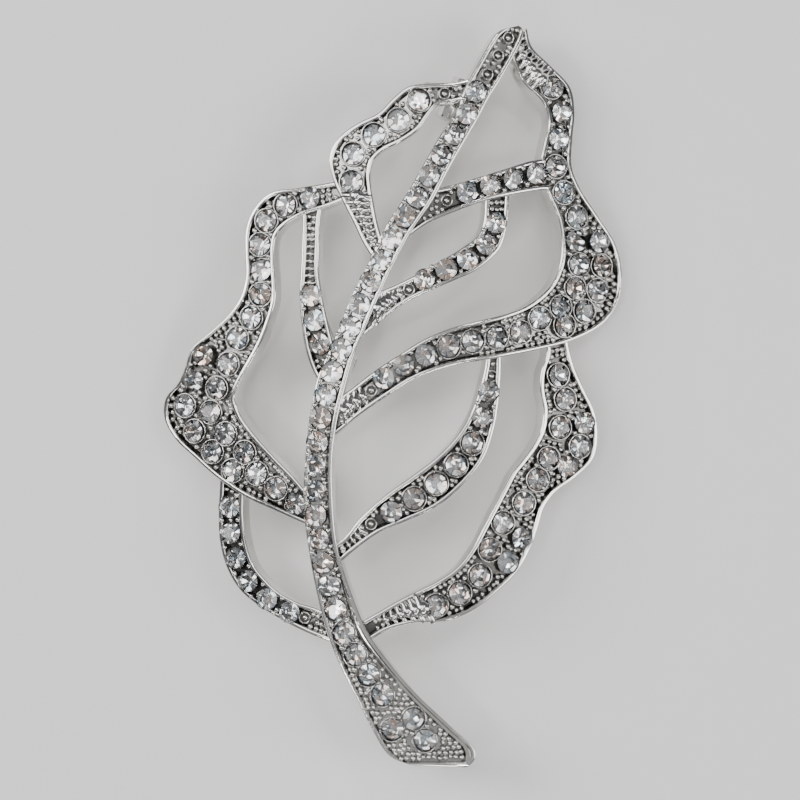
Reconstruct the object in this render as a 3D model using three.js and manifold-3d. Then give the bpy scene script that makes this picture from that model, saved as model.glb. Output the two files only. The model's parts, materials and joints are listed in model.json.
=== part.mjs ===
// Openwork leaf brooch: one cast leaf of U-shaped strands on a shallow dome, rows of round stones set in
// the strands, and the pin work on its back: a hinge with its rivet, a pin stem and a safety catch whose
// slotted roller turns over the pin. Millimetres. Front up (+Z), leaf tip towards +Y.
import * as THREE from "three";
import { mergeVertices } from "three/addons/utils/BufferGeometryUtils.js";
import Module from "manifold-3d";

const wasm = await Module();
wasm.setup();

// ---- Driving dimensions ------------------------------------------------------------------------
const LEAF_LENGTH = 65; // stem end to leaf tip
const LEAF_WIDTH = 40.3; // across the two widest lobes
const CASTING_THICKNESS = 1.8; // strand, from rail top to back
const CHANNEL_DEPTH = 1.05; // rail top down to the channel floor
const RAIL_WIDTH = 0.42; // bright rim on each side of a strand
const LAYER_STEP = 0.12; // how much each crossing strand stands above the one under it
const DOME_ACROSS = 0.0138; // fall of the dome, mm per mm squared, across the leaf
const DOME_ALONG = 0.001; // and along it

const STONE_DIAMETER = 2;
const STONE_GAP = 0.08; // least gap between neighbours in a row
const CROWN_SHARE = 0.16; // of the diameter: girdle to table
const PAVILION_SHARE = 0.42; // and girdle to point
const TABLE_SHARE = 0.6; // flat top, of the girdle
const SEAT_CLEARANCE = 0.05; // between a stone, or its resin, and the metal
const BED_THICKNESS = 0.45; // resin that holds a row of stones

const PIN_DIAMETER = 0.8;
const PIN_HEIGHT = 1.85; // pin axis above the surface the brooch lies on
const PIN_OVERHANG = 2.3; // pin tip past the middle of the catch
const PIN_TAPER = 3.5; // length of the ground point, in pin diameters
const PIN_POINT = 0.12; // radius at the very tip, rounded over its last PIN_NOSE
const PIN_NOSE = 0.1;
const RUNNING_CLEARANCE = 0.06; // between pieces that turn on each other
const ROLLER_FREEDOM = 5; // clearances of extra width in the slot that the pin drops into
const MOUTH_FREEDOM = 3; // clearances by which the mouth of the catch is wider still
const SOLDER_GAP = 0.05; // between the casting and a piece soldered to it

const HINGE_AT = [-5, 2.6]; // on the drawn leaf
const HINGE_EAR_THICKNESS = 0.7;
const HINGE_EAR_RADIUS = 1.25;
const EAR_SQUARENESS = 1.15; // over 1, the round end of an ear is cut flat below
const HINGE_RIVET_DIAMETER = 0.8;
const PIN_EYE_DIAMETER = 2;
const PIN_EYE_WIDTH = 0.9;
const RIVET_HEAD_DIAMETER = 1.3;
const RIVET_HEAD_HEIGHT = 0.25;

const CATCH_AT = [6.2, 25.6]; // on the drawn leaf
const CATCH_LENGTH = 3.8;
const CATCH_RING_DIAMETER = 3.6;
const CATCH_RING_WALL = 0.5;
const CATCH_TAB_WIDTH = 1;
const ROLLER_WALL = 0.45;
const ROLLER_TAB_REACH = 3.95; // from the pin axis to the end of the finger tab
const ROLLER_TAB_THICKNESS = 0.5;
const PAD_THICKNESS = 0.45; // soldered foot of the hinge and of the catch
const PAD_MARGIN = 0.4; // foot past the parts it carries

const FACET_LENGTH = 1.7; // longest flat along a curved strand
const STONE_SIDES = 6;
const ROUND_SIDES = 20;
const STEPS_PER_RIB = 20; // at which a strand's middle line is measured
const STEPS_PER_ROW = 60; // and a row's path walked to space its stones
const NECK_WIDTH = 1.3; // foot of the catch, in bores of its ring
const CUT_OVERRUN = 0.2; // how far a seat is cut past its stone, in diameters

// ---- The leaf as drawn, 65 long and 40.3 wide --------------------------------------------------
// Each rib crosses a strand: left edge x, y, then right edge x, y. A rib's middle moves with the leaf's
// size and the rib keeps its own length. A run of stones is [from, to, side at from, side at to]:
// millimetres along the drawn strand, and off its middle line towards the right edge.
const DRAWN_LENGTH = 65;
const DRAWN_WIDTH = 40.3;

const MIDDLE_VEIN = {
  name: "middle_vein",
  ribs: [
    [-5.4, -13.1, -4.9, -14.8], [-4.2, -12.3, -3.4, -13.5], [-2.6, -10.4, -1.2, -11.9],
    [-0.6, -8.6, 1, -10.95], [1.8, -6.9, 3.9, -9.6], [4, -5.2, 6.3, -7.6], [5.7, -3.4, 8, -5.4],
    [6.8, -1.6, 8.95, -2.6], [7.5, 0.2, 9.35, 0], [8.1, 2.6, 9.5, 2.6], [8.2, 4, 9.5, 4],
  ],
  runs: [[6.4, 20.5, 0.1, -0.1]],
};
const RIGHT_LOBE = {
  name: "right_lobe",
  ribs: [
    [13.2, 5.4, 15.3, 5.6], [13.5, 3.7, 15.5, 4.3], [13, 2.1, 16, 2.5], [12.9, 0.6, 16.8, 0.7],
    [13.2, -1.2, 17.8, -1.4], [13, -2.9, 18.1, -3.5], [12.3, -4.3, 17.7, -5.5], [11.4, -5.5, 16.2, -7],
    [10.5, -6.6, 14.3, -8.4], [9.8, -7.9, 13.3, -9.7], [9, -9.4, 12.8, -11.3], [8, -11.3, 12.2, -13],
    [6.9, -13.3, 11, -15.2], [5.6, -14.9, 9.2, -17], [4, -16, 6.9, -18.7], [2.2, -16.9, 4.4, -19.6],
    [0.4, -17.8, 1.8, -19.75], [-1, -18.6, -0.3, -20.3], [-2.4, -19.4, -2.1, -21.3],
  ],
  runs: [
    [3.7, 5.9, 0, 0], [7.9, 11.9, 1.25, 1.15], [8.5, 11.6, -0.85, -0.75], [14, 16.4, 0.1, 0.2],
    [18.7, 21.3, -0.85, -0.85], [19.3, 21.7, 1.2, 1.1], [23.8, 28.5, -0.1, 0.1],
  ],
};
const UPPER_VEIN = {
  name: "upper_vein",
  ribs: [
    [-1.4, 8.9, -2.9, 4.9], [-0.4, 9.3, -0.7, 6.7], [0.5, 9.7, 1.3, 8.1], [2.1, 10.5, 2.9, 8.9],
    [4.2, 11.7, 5.2, 9.9], [6.2, 12.9, 7.5, 11], [7.6, 14.1, 9.4, 12.8], [8, 15.3, 10, 14.6],
    [8.1, 17, 10.25, 17], [8.3, 18.4, 10.2, 18.4],
  ],
  runs: [[5.9, 14.3, -0.2, 0]],
};
const LEFT_VEIN = {
  name: "left_vein",
  ribs: [
    [-7.9, 17, -5.9, 17], [-7.8, 15.2, -6.2, 15.6], [-7.85, 13, -6.3, 13], [-7.95, 10.8, -6.35, 10.8],
    [-8.05, 8.7, -6.05, 8.7], [-7.9, 6.4, -5.6, 6.6], [-7.5, 4, -5.1, 4.6], [-6.9, 2.2, -4.6, 2.7],
    [-6, 0.6, -4.3, 1.2],
  ],
  runs: [[8.3, 12.6, 0, 0]],
};
const LOWER_LEFT_LOBE = {
  name: "lower_left_lobe",
  ribs: [
    [-15, -6, -12.9, -6.8], [-15.1, -8, -13, -8.8], [-15.2, -10.2, -13, -10.6],
    [-15.1, -12.6, -12.7, -12.8], [-14.5, -14.9, -12.1, -14.6], [-13.3, -16.9, -11.1, -15.9],
    [-11.6, -18.3, -9.9, -17], [-9.4, -19.6, -8.2, -17.9], [-7.3, -20.6, -6.6, -18.4],
    [-5.2, -21.4, -5, -19.2],
  ],
  runs: [[3.3, 14.5, -0.1, -0.1]],
};
const LEFT_LOBE = {
  name: "left_lobe",
  ribs: [
    [-4.2, 18.7, -3.9, 17], [-6, 18.4, -5.7, 16.3], [-8.3, 18.05, -7.6, 15.7], [-10.5, 17.7, -9.2, 14.8],
    [-12, 16.3, -10, 13.9], [-12.7, 14.6, -10.2, 13], [-12.8, 12.4, -10.2, 11.6],
    [-12.75, 10.4, -10.1, 10], [-13.2, 8.6, -10.1, 8.3], [-14.4, 6.9, -10.6, 6.5],
    [-16.1, 5.4, -11.3, 4.7], [-17.6, 4.1, -12.2, 3], [-18.15, 2.5, -13, 1.6], [-18.8, 1.1, -13.5, 0.6],
    [-19.9, -0.2, -13.7, -0.1], [-20, -2, -13.5, -0.9], [-19, -3.8, -13.1, -1.8],
    [-17.4, -5.3, -12.4, -2.8], [-15.4, -7.05, -11.4, -4], [-12.9, -8.7, -10.1, -5.4],
    [-10.3, -9.9, -8.6, -6.9], [-7.8, -11, -7.2, -8.5], [-6.4, -11.6, -6, -9.4],
  ],
  runs: [
    [3.2, 18.4, -0.1, 0.2], [20.6, 31.6, -1.45, -1.1], [21, 31, 0.9, 0.85], [33.2, 37.4, 0.1, -0.2],
  ],
};
const TIP_LOBE = {
  name: "tip_lobe",
  ribs: [
    [10.6, 30.6, 11.75, 32.1], [10.5, 29.3, 12.2, 30.5], [11.5, 27.2, 13.9, 28.8],
    [13.1, 25.6, 15.6, 27], [13.65, 23.9, 16, 24.8], [13.3, 22.2, 15.8, 22.4],
    [12.9, 19.8, 15.75, 20], [13.6, 17.6, 16.5, 18.1], [14.5, 15.4, 18.1, 15.7],
    [14.8, 13.2, 19.6, 13.4], [14.6, 11.4, 20.2, 11.1], [14, 9.9, 20, 8.6], [13, 8.8, 18.7, 6.5],
    [11.6, 7.8, 15.9, 4.9], [9.8, 7.1, 12.6, 4], [7.4, 6.5, 8.6, 3.2], [5, 5.85, 5.9, 2.75],
    [2.7, 4.85, 3.7, 2.15], [0.6, 3.55, 1.7, 1.3], [-1.6, 2.1, -0.3, 0.05], [-3.4, 0.7, -2.7, -1.6],
    [-4.9, -0.4, -4.9, -3.4],
  ],
  runs: [
    [5.4, 17.4, 0.1, -0.1], [19.6, 28.7, -1.1, -0.85], [19.7, 27.9, 1, 0.9], [31.2, 43.9, 0, -0.25],
  ],
};
const TIP_VEIN = {
  name: "tip_vein",
  ribs: [
    [1.6, 17, 1, 13.4], [3.2, 17.8, 2.9, 14.8], [5.2, 18.3, 5.6, 16], [7.6, 19, 8.2, 16.95],
    [10, 19.8, 10.6, 17.5], [12.2, 20.5, 13.2, 17.95], [14.4, 20.8, 14.8, 18],
  ],
  runs: [[5.8, 12.1, -0.1, -0.15]],
};
const UPPER_LEFT_LOBE = {
  name: "upper_left_lobe",
  ribs: [
    [7, 27.6, 6.8, 25.7], [5.4, 27.2, 5.2, 25.4], [3.3, 27.1, 3.9, 25.1], [1.4, 26.8, 3, 24],
    [0.1, 25.8, 2.3, 23], [-1.2, 24.5, 0.9, 22], [-3, 23.6, -0.7, 21.2], [-4.6, 22.4, -1.6, 20.3],
    [-5.4, 20.8, -1.85, 19.3], [-5.2, 19, -1.8, 18.2], [-4.4, 17.1, -1.6, 16.9],
    [-3.4, 15.1, -1.3, 15.3], [-2.5, 13.2, -0.9, 13.8], [-1.7, 11.9, -0.4, 12.5],
  ],
  runs: [[4.7, 14.6, -0.1, 0]],
};
const MIDRIB = {
  name: "midrib",
  ribs: [
    [10.3, 32.2, 11.6, 32.3], [9.1, 31.6, 11.2, 30.9], [8.2, 30.3, 10.4, 29.3], [7.3, 28.7, 9.4, 27.5],
    [6.2, 26.6, 8.4, 25.9], [5.6, 24.6, 7.4, 24], [4.3, 22.8, 6.2, 21.9], [2.9, 20.4, 4.9, 19.6],
    [1.3, 17.6, 3.5, 16.9], [-0.7, 14.4, 1.5, 13.9], [-2.3, 10.9, -0.2, 10.6], [-3.6, 8.4, -1.4, 7.9],
    [-4.5, 6, -2.4, 5.5], [-5.4, 3.9, -3.2, 3.6], [-6.4, 1.6, -3.9, 1.2], [-7, -1.2, -4.6, -1.6],
    [-7.45, -5, -5.1, -5.2], [-7.65, -9.4, -5.05, -9.6], [-7.2, -13.2, -4.65, -13.1],
    [-6.5, -17, -3.5, -16.9], [-5.5, -20.8, -2, -20.5], [-4.5, -23.3, 0, -23.3],
    [-3.2, -25.9, 2.35, -26], [-1.6, -29.1, 5.3, -28.8], [-0.4, -31, 7.2, -30.8], [1.2, -32, 7, -32.3],
  ],
  runs: [[6.9, 63.6, -0.1, -0.36], [66.1, 68.5, -1.35, -2.1], [66.2, 68.6, 0.8, 0.25]],
  ends: RAIL_WIDTH, // the rail closes both free ends
};
// Strands of one layer open into each other; a later layer crosses over the earlier ones.
const LAYERS = [
  [MIDDLE_VEIN, RIGHT_LOBE, UPPER_VEIN, LEFT_VEIN, LOWER_LEFT_LOBE],
  [LEFT_LOBE, TIP_LOBE, TIP_VEIN],
  [UPPER_LEFT_LOBE],
  [MIDRIB],
];

// ---- Worked-out sizes --------------------------------------------------------------------------
const stoneRadius = STONE_DIAMETER / 2;
const crownHeight = CROWN_SHARE * STONE_DIAMETER;
const pavilionDepth = PAVILION_SHARE * STONE_DIAMETER;
const girdleLevel = 0.06; // girdle above the rail top
const pinRadius = PIN_DIAMETER / 2;
const ringRadius = CATCH_RING_DIAMETER / 2;
const ringBore = ringRadius - CATCH_RING_WALL;
const rollerRadius = ringBore - RUNNING_CLEARANCE;
const rollerBore = rollerRadius - ROLLER_WALL;
const rollerSlot = PIN_DIAMETER + ROLLER_FREEDOM * RUNNING_CLEARANCE;
const catchMouth = rollerSlot + MOUTH_FREEDOM * RUNNING_CLEARANCE;
const tabGap = CATCH_TAB_WIDTH + MOUTH_FREEDOM * RUNNING_CLEARANCE;
const earOffset = PIN_EYE_WIDTH / 2 + RUNNING_CLEARANCE;
const hingeHalfWidth = earOffset + HINGE_EAR_THICKNESS;

// The dome's crown stands where the lowest strand edge just meets the surface under the brooch.
const crownLevel = lowestEdgeDrop();

// ---- Solids ------------------------------------------------------------------------------------
function solid(geometry) {
  const bare = geometry.clone();
  bare.deleteAttribute("normal");
  bare.deleteAttribute("uv");
  const merged = mergeVertices(bare, 1e-4);
  return new wasm.Manifold(
    new wasm.Mesh({
      numProp: 3,
      vertProperties: new Float32Array(merged.attributes.position.array),
      triVerts: new Uint32Array(merged.index.array),
    }),
  );
}

function geometryOf(made) {
  const mesh = made.getMesh();
  const geometry = new THREE.BufferGeometry();
  geometry.setAttribute("position", new THREE.BufferAttribute(mesh.vertProperties, 3));
  geometry.setIndex(new THREE.BufferAttribute(mesh.triVerts, 1));
  geometry.computeVertexNormals();
  return geometry;
}

function joined(geometries) {
  return geometries.map(solid).reduce((whole, piece) => whole.add(piece));
}

// Six times the volume that a closed index of points holds, below zero where it is inside out.
function heldBy(points, index) {
  let sum = 0;
  for (let i = 0; i < index.length; i += 3) {
    const [a, b, c] = index.slice(i, i + 3).map((k) => points[k]);
    sum += a.dot(b.clone().cross(c));
  }
  return sum;
}

// A closed body through a list of sections, each a ring of points turning the same way.
function loft(sections) {
  const sides = sections[0].length;
  const points = sections.flat();
  const index = [];
  for (let i = 0; i + 1 < sections.length; i++) {
    for (let j = 0; j < sides; j++) {
      const a = i * sides + j;
      const b = i * sides + ((j + 1) % sides);
      index.push(a, b, a + sides, b, b + sides, a + sides);
    }
  }
  const last = (sections.length - 1) * sides;
  for (let j = 1; j + 1 < sides; j++) {
    index.push(0, j + 1, j, last, last + j, last + j + 1);
  }
  if (heldBy(points, index) < 0) index.reverse();
  const geometry = new THREE.BufferGeometry().setFromPoints(points);
  geometry.setIndex(index);
  return geometry;
}

// ---- The dome ----------------------------------------------------------------------------------
function domeFall(x, y) {
  return DOME_ACROSS * x * x + DOME_ALONG * y * y;
}

function domeNormal(x, y) {
  return new THREE.Vector3(2 * DOME_ACROSS * x, 2 * DOME_ALONG * y, 1).normalize();
}

// The point over (x, y) on the dome, raised along its normal.
function onDome(x, y, raise) {
  return new THREE.Vector3(x, y, crownLevel - domeFall(x, y)).addScaledVector(domeNormal(x, y), raise);
}

function lowestEdgeDrop() {
  let drop = 0;
  for (const strand of LAYERS.flat()) {
    for (const rib of strand.ribs) {
      const [left, right] = placedRib(rib);
      for (const end of [left, right]) {
        const tilt = domeNormal(end.x, end.y).z;
        drop = Math.max(drop, domeFall(end.x, end.y) + CASTING_THICKNESS * tilt);
      }
    }
  }
  return drop;
}

// Height of the casting's back above a point of the plan.
function backHeight(x, y) {
  const above = new THREE.Vector2(x, y);
  for (let i = 0; i < 6; i++) {
    const back = onDome(above.x, above.y, -CASTING_THICKNESS);
    above.x += x - back.x;
    above.y += y - back.y;
  }
  return onDome(above.x, above.y, -CASTING_THICKNESS).z;
}

// ---- Strands -----------------------------------------------------------------------------------
function onLeaf(x, y) {
  return new THREE.Vector3((x * LEAF_WIDTH) / DRAWN_WIDTH, (y * LEAF_LENGTH) / DRAWN_LENGTH, 0);
}

function placedRib([leftX, leftY, rightX, rightY]) {
  const middle = onLeaf((leftX + rightX) / 2, (leftY + rightY) / 2);
  const half = new THREE.Vector3((rightX - leftX) / 2, (rightY - leftY) / 2, 0);
  return [middle.clone().sub(half), middle.clone().add(half)];
}

// The two edges of a strand as smooth curves, with its middle line's length.
class Strand {
  constructor({ name, ribs, runs, ends = 0 }, layer) {
    Object.assign(this, { name, ribs, runs, ends });
    this.lift = layer * LAYER_STEP;
    const placed = ribs.map(placedRib);
    this.left = new THREE.CatmullRomCurve3(placed.map((rib) => rib[0]), false, "centripetal");
    this.right = new THREE.CatmullRomCurve3(placed.map((rib) => rib[1]), false, "centripetal");
    this.lengths = this.measure();
    this.length = this.lengths.at(-1);
  }

  rib(share) {
    const left = this.left.getPoint(share);
    const right = this.right.getPoint(share);
    return { left, right, middle: left.clone().lerp(right, 0.5) };
  }

  measure() {
    const steps = STEPS_PER_RIB * this.ribs.length;
    const lengths = [0];
    let last = this.rib(0).middle;
    for (let i = 1; i <= steps; i++) {
      const next = this.rib(i / steps).middle;
      lengths.push(lengths[i - 1] + next.distanceTo(last));
      last = next;
    }
    return lengths;
  }

  ribAt(along) {
    const steps = this.lengths.length - 1;
    const target = THREE.MathUtils.clamp(along, 0, this.length);
    let i = 1;
    while (i < steps && this.lengths[i] < target) i++;
    const part = (target - this.lengths[i - 1]) / (this.lengths[i] - this.lengths[i - 1]);
    return this.rib((i - 1 + part) / steps);
  }

  // Places along the strand where every body of it bends, so that all of them share their flats.
  bends(from, to) {
    const count = Math.ceil(this.length / FACET_LENGTH);
    const all = Array.from({ length: count + 1 }, (_, i) => (this.length * i) / count);
    return [from, ...all.filter((along) => along > from + 0.01 && along < to - 0.01), to];
  }

  // The rib across the flat that holds a place along the strand.
  flatRibAt(along) {
    const count = Math.ceil(this.length / FACET_LENGTH);
    const share = (along / this.length) * count;
    const before = this.ribAt((this.length * Math.floor(share)) / count);
    const after = this.ribAt((this.length * Math.ceil(share)) / count);
    const part = share - Math.floor(share);
    return { left: before.left.lerp(after.left, part), right: before.right.lerp(after.right, part) };
  }

  // A body between two levels, drawn in from the strand's edges, from one place along it to another.
  body(inset, top, bottom, from = 0, to = this.length) {
    const sections = this.bends(from, to).map((along) => {
      const { left, right } = this.flatRibAt(along);
      const across = right.clone().sub(left).normalize().multiplyScalar(inset);
      const inLeft = left.clone().add(across);
      const inRight = right.clone().sub(across);
      return [
        onDome(inLeft.x, inLeft.y, top),
        onDome(inLeft.x, inLeft.y, bottom),
        onDome(inRight.x, inRight.y, bottom),
        onDome(inRight.x, inRight.y, top),
      ];
    });
    return loft(sections);
  }

  plate() {
    return this.body(0, this.lift, this.lift / 2 - CASTING_THICKNESS);
  }

  channel() {
    const above = this.lift + CASTING_THICKNESS;
    const floor = this.lift - CHANNEL_DEPTH;
    return this.body(RAIL_WIDTH, above, floor, this.ends, this.length - this.ends);
  }

  // Where each run's stones stand, evenly spread at no less than the pitch.
  seats() {
    const pitch = STONE_DIAMETER + STONE_GAP;
    const drawn = drawnLength(this.ribs);
    const seats = [];
    for (const [from, to, sideFrom, sideTo] of this.runs) {
      const path = [];
      for (let i = 0; i <= STEPS_PER_ROW; i++) {
        const share = i / STEPS_PER_ROW;
        const along = ((from + (to - from) * share) * this.length) / drawn;
        const { left, right, middle } = this.ribAt(along);
        const side = right.clone().sub(left).normalize();
        const off = sideFrom + (sideTo - sideFrom) * share;
        path.push({ along, at: middle.addScaledVector(side, off) });
      }
      seats.push(...spread(path, pitch));
    }
    return seats;
  }
}

function drawnLength(ribs) {
  const middles = ribs.map(([lx, ly, rx, ry]) => new THREE.Vector3((lx + rx) / 2, (ly + ry) / 2, 0));
  return new THREE.CatmullRomCurve3(middles, false, "centripetal").getLength();
}

function spread(path, pitch) {
  const lengths = [0];
  for (let i = 1; i < path.length; i++) {
    lengths.push(lengths[i - 1] + path[i].at.distanceTo(path[i - 1].at));
  }
  const count = Math.floor(lengths.at(-1) / pitch + 1e-6) + 1;
  const seats = [];
  for (let k = 0; k < count; k++) {
    const target = count > 1 ? (lengths.at(-1) * k) / (count - 1) : lengths.at(-1) / 2;
    const i = Math.max(1, lengths.findIndex((length) => length >= target - 1e-9));
    const part = (target - lengths[i - 1]) / (lengths[i] - lengths[i - 1]);
    seats.push({
      along: path[i - 1].along + (path[i].along - path[i - 1].along) * part,
      at: path[i - 1].at.clone().lerp(path[i].at, part),
    });
  }
  return seats;
}

// ---- Stones ------------------------------------------------------------------------------------
function placedOnDome(geometry, { x, y }, raise) {
  const turn = new THREE.Quaternion().setFromUnitVectors(new THREE.Vector3(0, 0, 1), domeNormal(x, y));
  const place = new THREE.Matrix4().compose(onDome(x, y, raise), turn, new THREE.Vector3(1, 1, 1));
  return geometry.applyMatrix4(place);
}

function turned(profile) {
  const points = profile.map(([radius, height]) => new THREE.Vector2(radius, height));
  return new THREE.LatheGeometry(points, STONE_SIDES).rotateX(Math.PI / 2);
}

// A round brilliant: culet, girdle and table.
function stone(seat, lift) {
  const cut = turned([
    [0, -pavilionDepth], [stoneRadius, 0], [TABLE_SHARE * stoneRadius, crownHeight], [0, crownHeight],
  ]);
  return placedOnDome(cut, seat.at, lift + girdleLevel);
}

// The room bored in the metal for a stone, open upwards.
function seatCutter(seat, lift) {
  const radius = stoneRadius + SEAT_CLEARANCE;
  const bore = turned([
    [0, -pavilionDepth - SEAT_CLEARANCE], [radius, -SEAT_CLEARANCE], [radius, CASTING_THICKNESS],
    [0, CASTING_THICKNESS],
  ]);
  return placedOnDome(bore, seat.at, lift + girdleLevel);
}

function stoneRow(strand) {
  const seats = strand.seats();
  const places = seats.map((seat) => seat.along);
  const overrun = CUT_OVERRUN * STONE_DIAMETER;
  const bottom = strand.lift - CHANNEL_DEPTH + SEAT_CLEARANCE;
  const bed = strand.body(
    RAIL_WIDTH + SEAT_CLEARANCE, bottom + BED_THICKNESS, bottom,
    Math.min(...places) - overrun, Math.max(...places) + overrun,
  );
  return joined([bed, ...seats.map((seat) => stone(seat, strand.lift))]);
}

// ---- Casting -----------------------------------------------------------------------------------
function casting(layers) {
  let leaf = null;
  for (const layer of layers) {
    for (const strand of layer) {
      const plate = solid(strand.plate());
      leaf = leaf ? leaf.add(plate) : plate;
    }
    for (const strand of layer) leaf = leaf.subtract(solid(strand.channel()));
  }
  for (const strand of layers.flat()) {
    for (const seat of strand.seats()) leaf = leaf.subtract(solid(seatCutter(seat, strand.lift)));
  }
  return leaf;
}

// ---- Pin work, in its own frame: x along the pin, y to its left, z up, origin on the hinge axis --
const hingeAt = onLeaf(...HINGE_AT);
const catchAt = onLeaf(...CATCH_AT);
const pinSpan = hingeAt.distanceTo(catchAt);
const pinTurn = Math.atan2(catchAt.y - hingeAt.y, catchAt.x - hingeAt.x);

// The soldered foot: flat below, its top following the casting's back above it.
function foot(atX, halfLength, halfWidth) {
  const corners = [[-1, -1], [1, -1], [1, 1], [-1, 1]];
  const spots = corners.map(([i, j]) => [atX + i * halfLength, j * halfWidth]);
  const tops = spots.map(([x, y]) => {
    const inPlan = new THREE.Vector3(x, y, 0).applyAxisAngle(new THREE.Vector3(0, 0, 1), pinTurn);
    return backHeight(inPlan.x + hingeAt.x, inPlan.y + hingeAt.y) - SOLDER_GAP - PIN_HEIGHT;
  });
  const under = Math.min(...tops) - PAD_THICKNESS;
  const ring = (level) => spots.map(([x, y], i) => new THREE.Vector3(x, y, level(i)));
  return { geometry: loft([ring((i) => tops[i]), ring(() => under)]), under };
}

function slab(outline, holes, thickness) {
  const shape = new THREE.Shape(outline);
  shape.holes.push(...holes);
  return new THREE.ExtrudeGeometry(shape, {
    depth: thickness, bevelEnabled: false, curveSegments: ROUND_SIDES / 2,
  });
}

function hole(radius) {
  return new THREE.Path().absarc(0, 0, radius, 0, 2 * Math.PI, true);
}

// A slab drawn in x and z, standing across y and centred on it.
function upright(geometry, thickness, y) {
  return geometry.rotateX(Math.PI / 2).translate(0, y + thickness / 2, 0);
}

function hingeEar(top, y) {
  const outline = [new THREE.Vector2(HINGE_EAR_RADIUS, top), new THREE.Vector2(-HINGE_EAR_RADIUS, top)];
  const floor = -HINGE_EAR_RADIUS;
  for (let i = 0; i <= ROUND_SIDES; i++) {
    const angle = Math.PI + (Math.PI * i) / ROUND_SIDES;
    const x = HINGE_EAR_RADIUS * Math.cos(angle);
    const z = Math.max(HINGE_EAR_RADIUS * EAR_SQUARENESS * Math.sin(angle), floor);
    outline.push(new THREE.Vector2(x, z));
  }
  const bore = hole(HINGE_RIVET_DIAMETER / 2 + RUNNING_CLEARANCE);
  return upright(slab(outline, [bore], HINGE_EAR_THICKNESS), HINGE_EAR_THICKNESS, y);
}

function hingeJoint() {
  const pad = foot(0, HINGE_EAR_RADIUS + PAD_MARGIN, hingeHalfWidth + PAD_MARGIN);
  const earTop = pad.under + PAD_THICKNESS / 2;
  const earY = earOffset + HINGE_EAR_THICKNESS / 2;
  return joined([pad.geometry, hingeEar(earTop, earY), hingeEar(earTop, -earY)]);
}

function hingeRivet() {
  const shank = HINGE_RIVET_DIAMETER / 2;
  const head = RIVET_HEAD_DIAMETER / 2;
  const inner = hingeHalfWidth + SOLDER_GAP;
  const outer = inner + RIVET_HEAD_HEIGHT;
  const profile = [
    [0, -outer], [head, -outer], [head, -inner], [shank, -inner], [shank, inner], [head, inner],
    [head, outer], [0, outer],
  ];
  const points = profile.map(([radius, height]) => new THREE.Vector2(radius, height));
  return solid(new THREE.LatheGeometry(points, ROUND_SIDES));
}

function pinStem() {
  const eyeRadius = PIN_EYE_DIAMETER / 2;
  const bore = hole(HINGE_RIVET_DIAMETER / 2 + RUNNING_CLEARANCE);
  const round = new THREE.Shape().absarc(0, 0, eyeRadius, 0, 2 * Math.PI, false);
  const eye = upright(slab(round.getPoints(ROUND_SIDES / 2), [bore], PIN_EYE_WIDTH), PIN_EYE_WIDTH, 0);
  const start = HINGE_RIVET_DIAMETER / 2 + RUNNING_CLEARANCE + pinRadius;
  const end = pinSpan + PIN_OVERHANG;
  const taper = PIN_TAPER * PIN_DIAMETER;
  const profile = [[0, start], [pinRadius, start], [pinRadius, end - taper], [PIN_POINT, end - PIN_NOSE], [0, end]];
  const points = profile.map(([radius, height]) => new THREE.Vector2(radius, height));
  const wire = new THREE.LatheGeometry(points, ROUND_SIDES / 2).rotateZ(-Math.PI / 2);
  return joined([eye, wire]);
}

// A C in y and z with its mouth downwards, from x to x + length.
function openRing(outer, inner, mouth, x, length) {
  const lip = Math.asin(mouth / 2 / inner);
  const outerLip = Math.asin(mouth / 2 / outer);
  const down = -Math.PI / 2;
  const shape = new THREE.Shape();
  shape.absarc(0, 0, outer, down + outerLip, down + 2 * Math.PI - outerLip, false);
  shape.absarc(0, 0, inner, down + 2 * Math.PI - lip, down + lip, true);
  const ring = new THREE.ExtrudeGeometry(shape, {
    depth: length, bevelEnabled: false, curveSegments: ROUND_SIDES,
  });
  // Drawn x becomes y and drawn y becomes z.
  return ring.applyMatrix4(new THREE.Matrix4().set(0, 0, 1, x, 1, 0, 0, 0, 0, 1, 0, 0, 0, 0, 0, 1));
}

function catchBody() {
  const half = CATCH_LENGTH / 2;
  const ringLength = half - tabGap / 2;
  const pad = foot(pinSpan, half, ringBore);
  const neckTop = pad.under + PAD_THICKNESS / 2;
  const neckBottom = ringBore + CATCH_RING_WALL / 2;
  const neck = new THREE.BoxGeometry(ringLength, NECK_WIDTH * ringBore, neckTop - neckBottom);
  const neckX = half - ringLength / 2;
  const neckZ = (neckTop + neckBottom) / 2;
  return joined([
    pad.geometry,
    neck.clone().translate(pinSpan - neckX, 0, neckZ),
    neck.clone().translate(pinSpan + neckX, 0, neckZ),
    openRing(ringRadius, ringBore, catchMouth, pinSpan - half, ringLength),
    openRing(ringRadius, ringBore, catchMouth, pinSpan + tabGap / 2, ringLength),
  ]);
}

// The roller lies open: its slot faces down and its finger tab points to the left.
function catchRoller() {
  const sleeve = openRing(rollerRadius, rollerBore, rollerSlot, pinSpan - CATCH_LENGTH / 2, CATCH_LENGTH);
  const root = rollerBore + ROLLER_WALL / 2;
  const reach = ROLLER_TAB_REACH - root;
  const tab = new THREE.BoxGeometry(CATCH_TAB_WIDTH, reach, ROLLER_TAB_THICKNESS);
  tab.translate(pinSpan, root + reach / 2, 0);
  return joined([sleeve, tab]);
}

// ---- The brooch --------------------------------------------------------------------------------
const RHODIUM = new THREE.MeshStandardMaterial({ color: 0xd9d7d2, roughness: 0.15, metalness: 1 });
const STEEL = new THREE.MeshStandardMaterial({ color: 0xb9b8b4, roughness: 0.25, metalness: 1 });
const CRYSTAL = new THREE.MeshStandardMaterial({ color: 0xe8eef0, roughness: 0.03, metalness: 0 });

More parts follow.
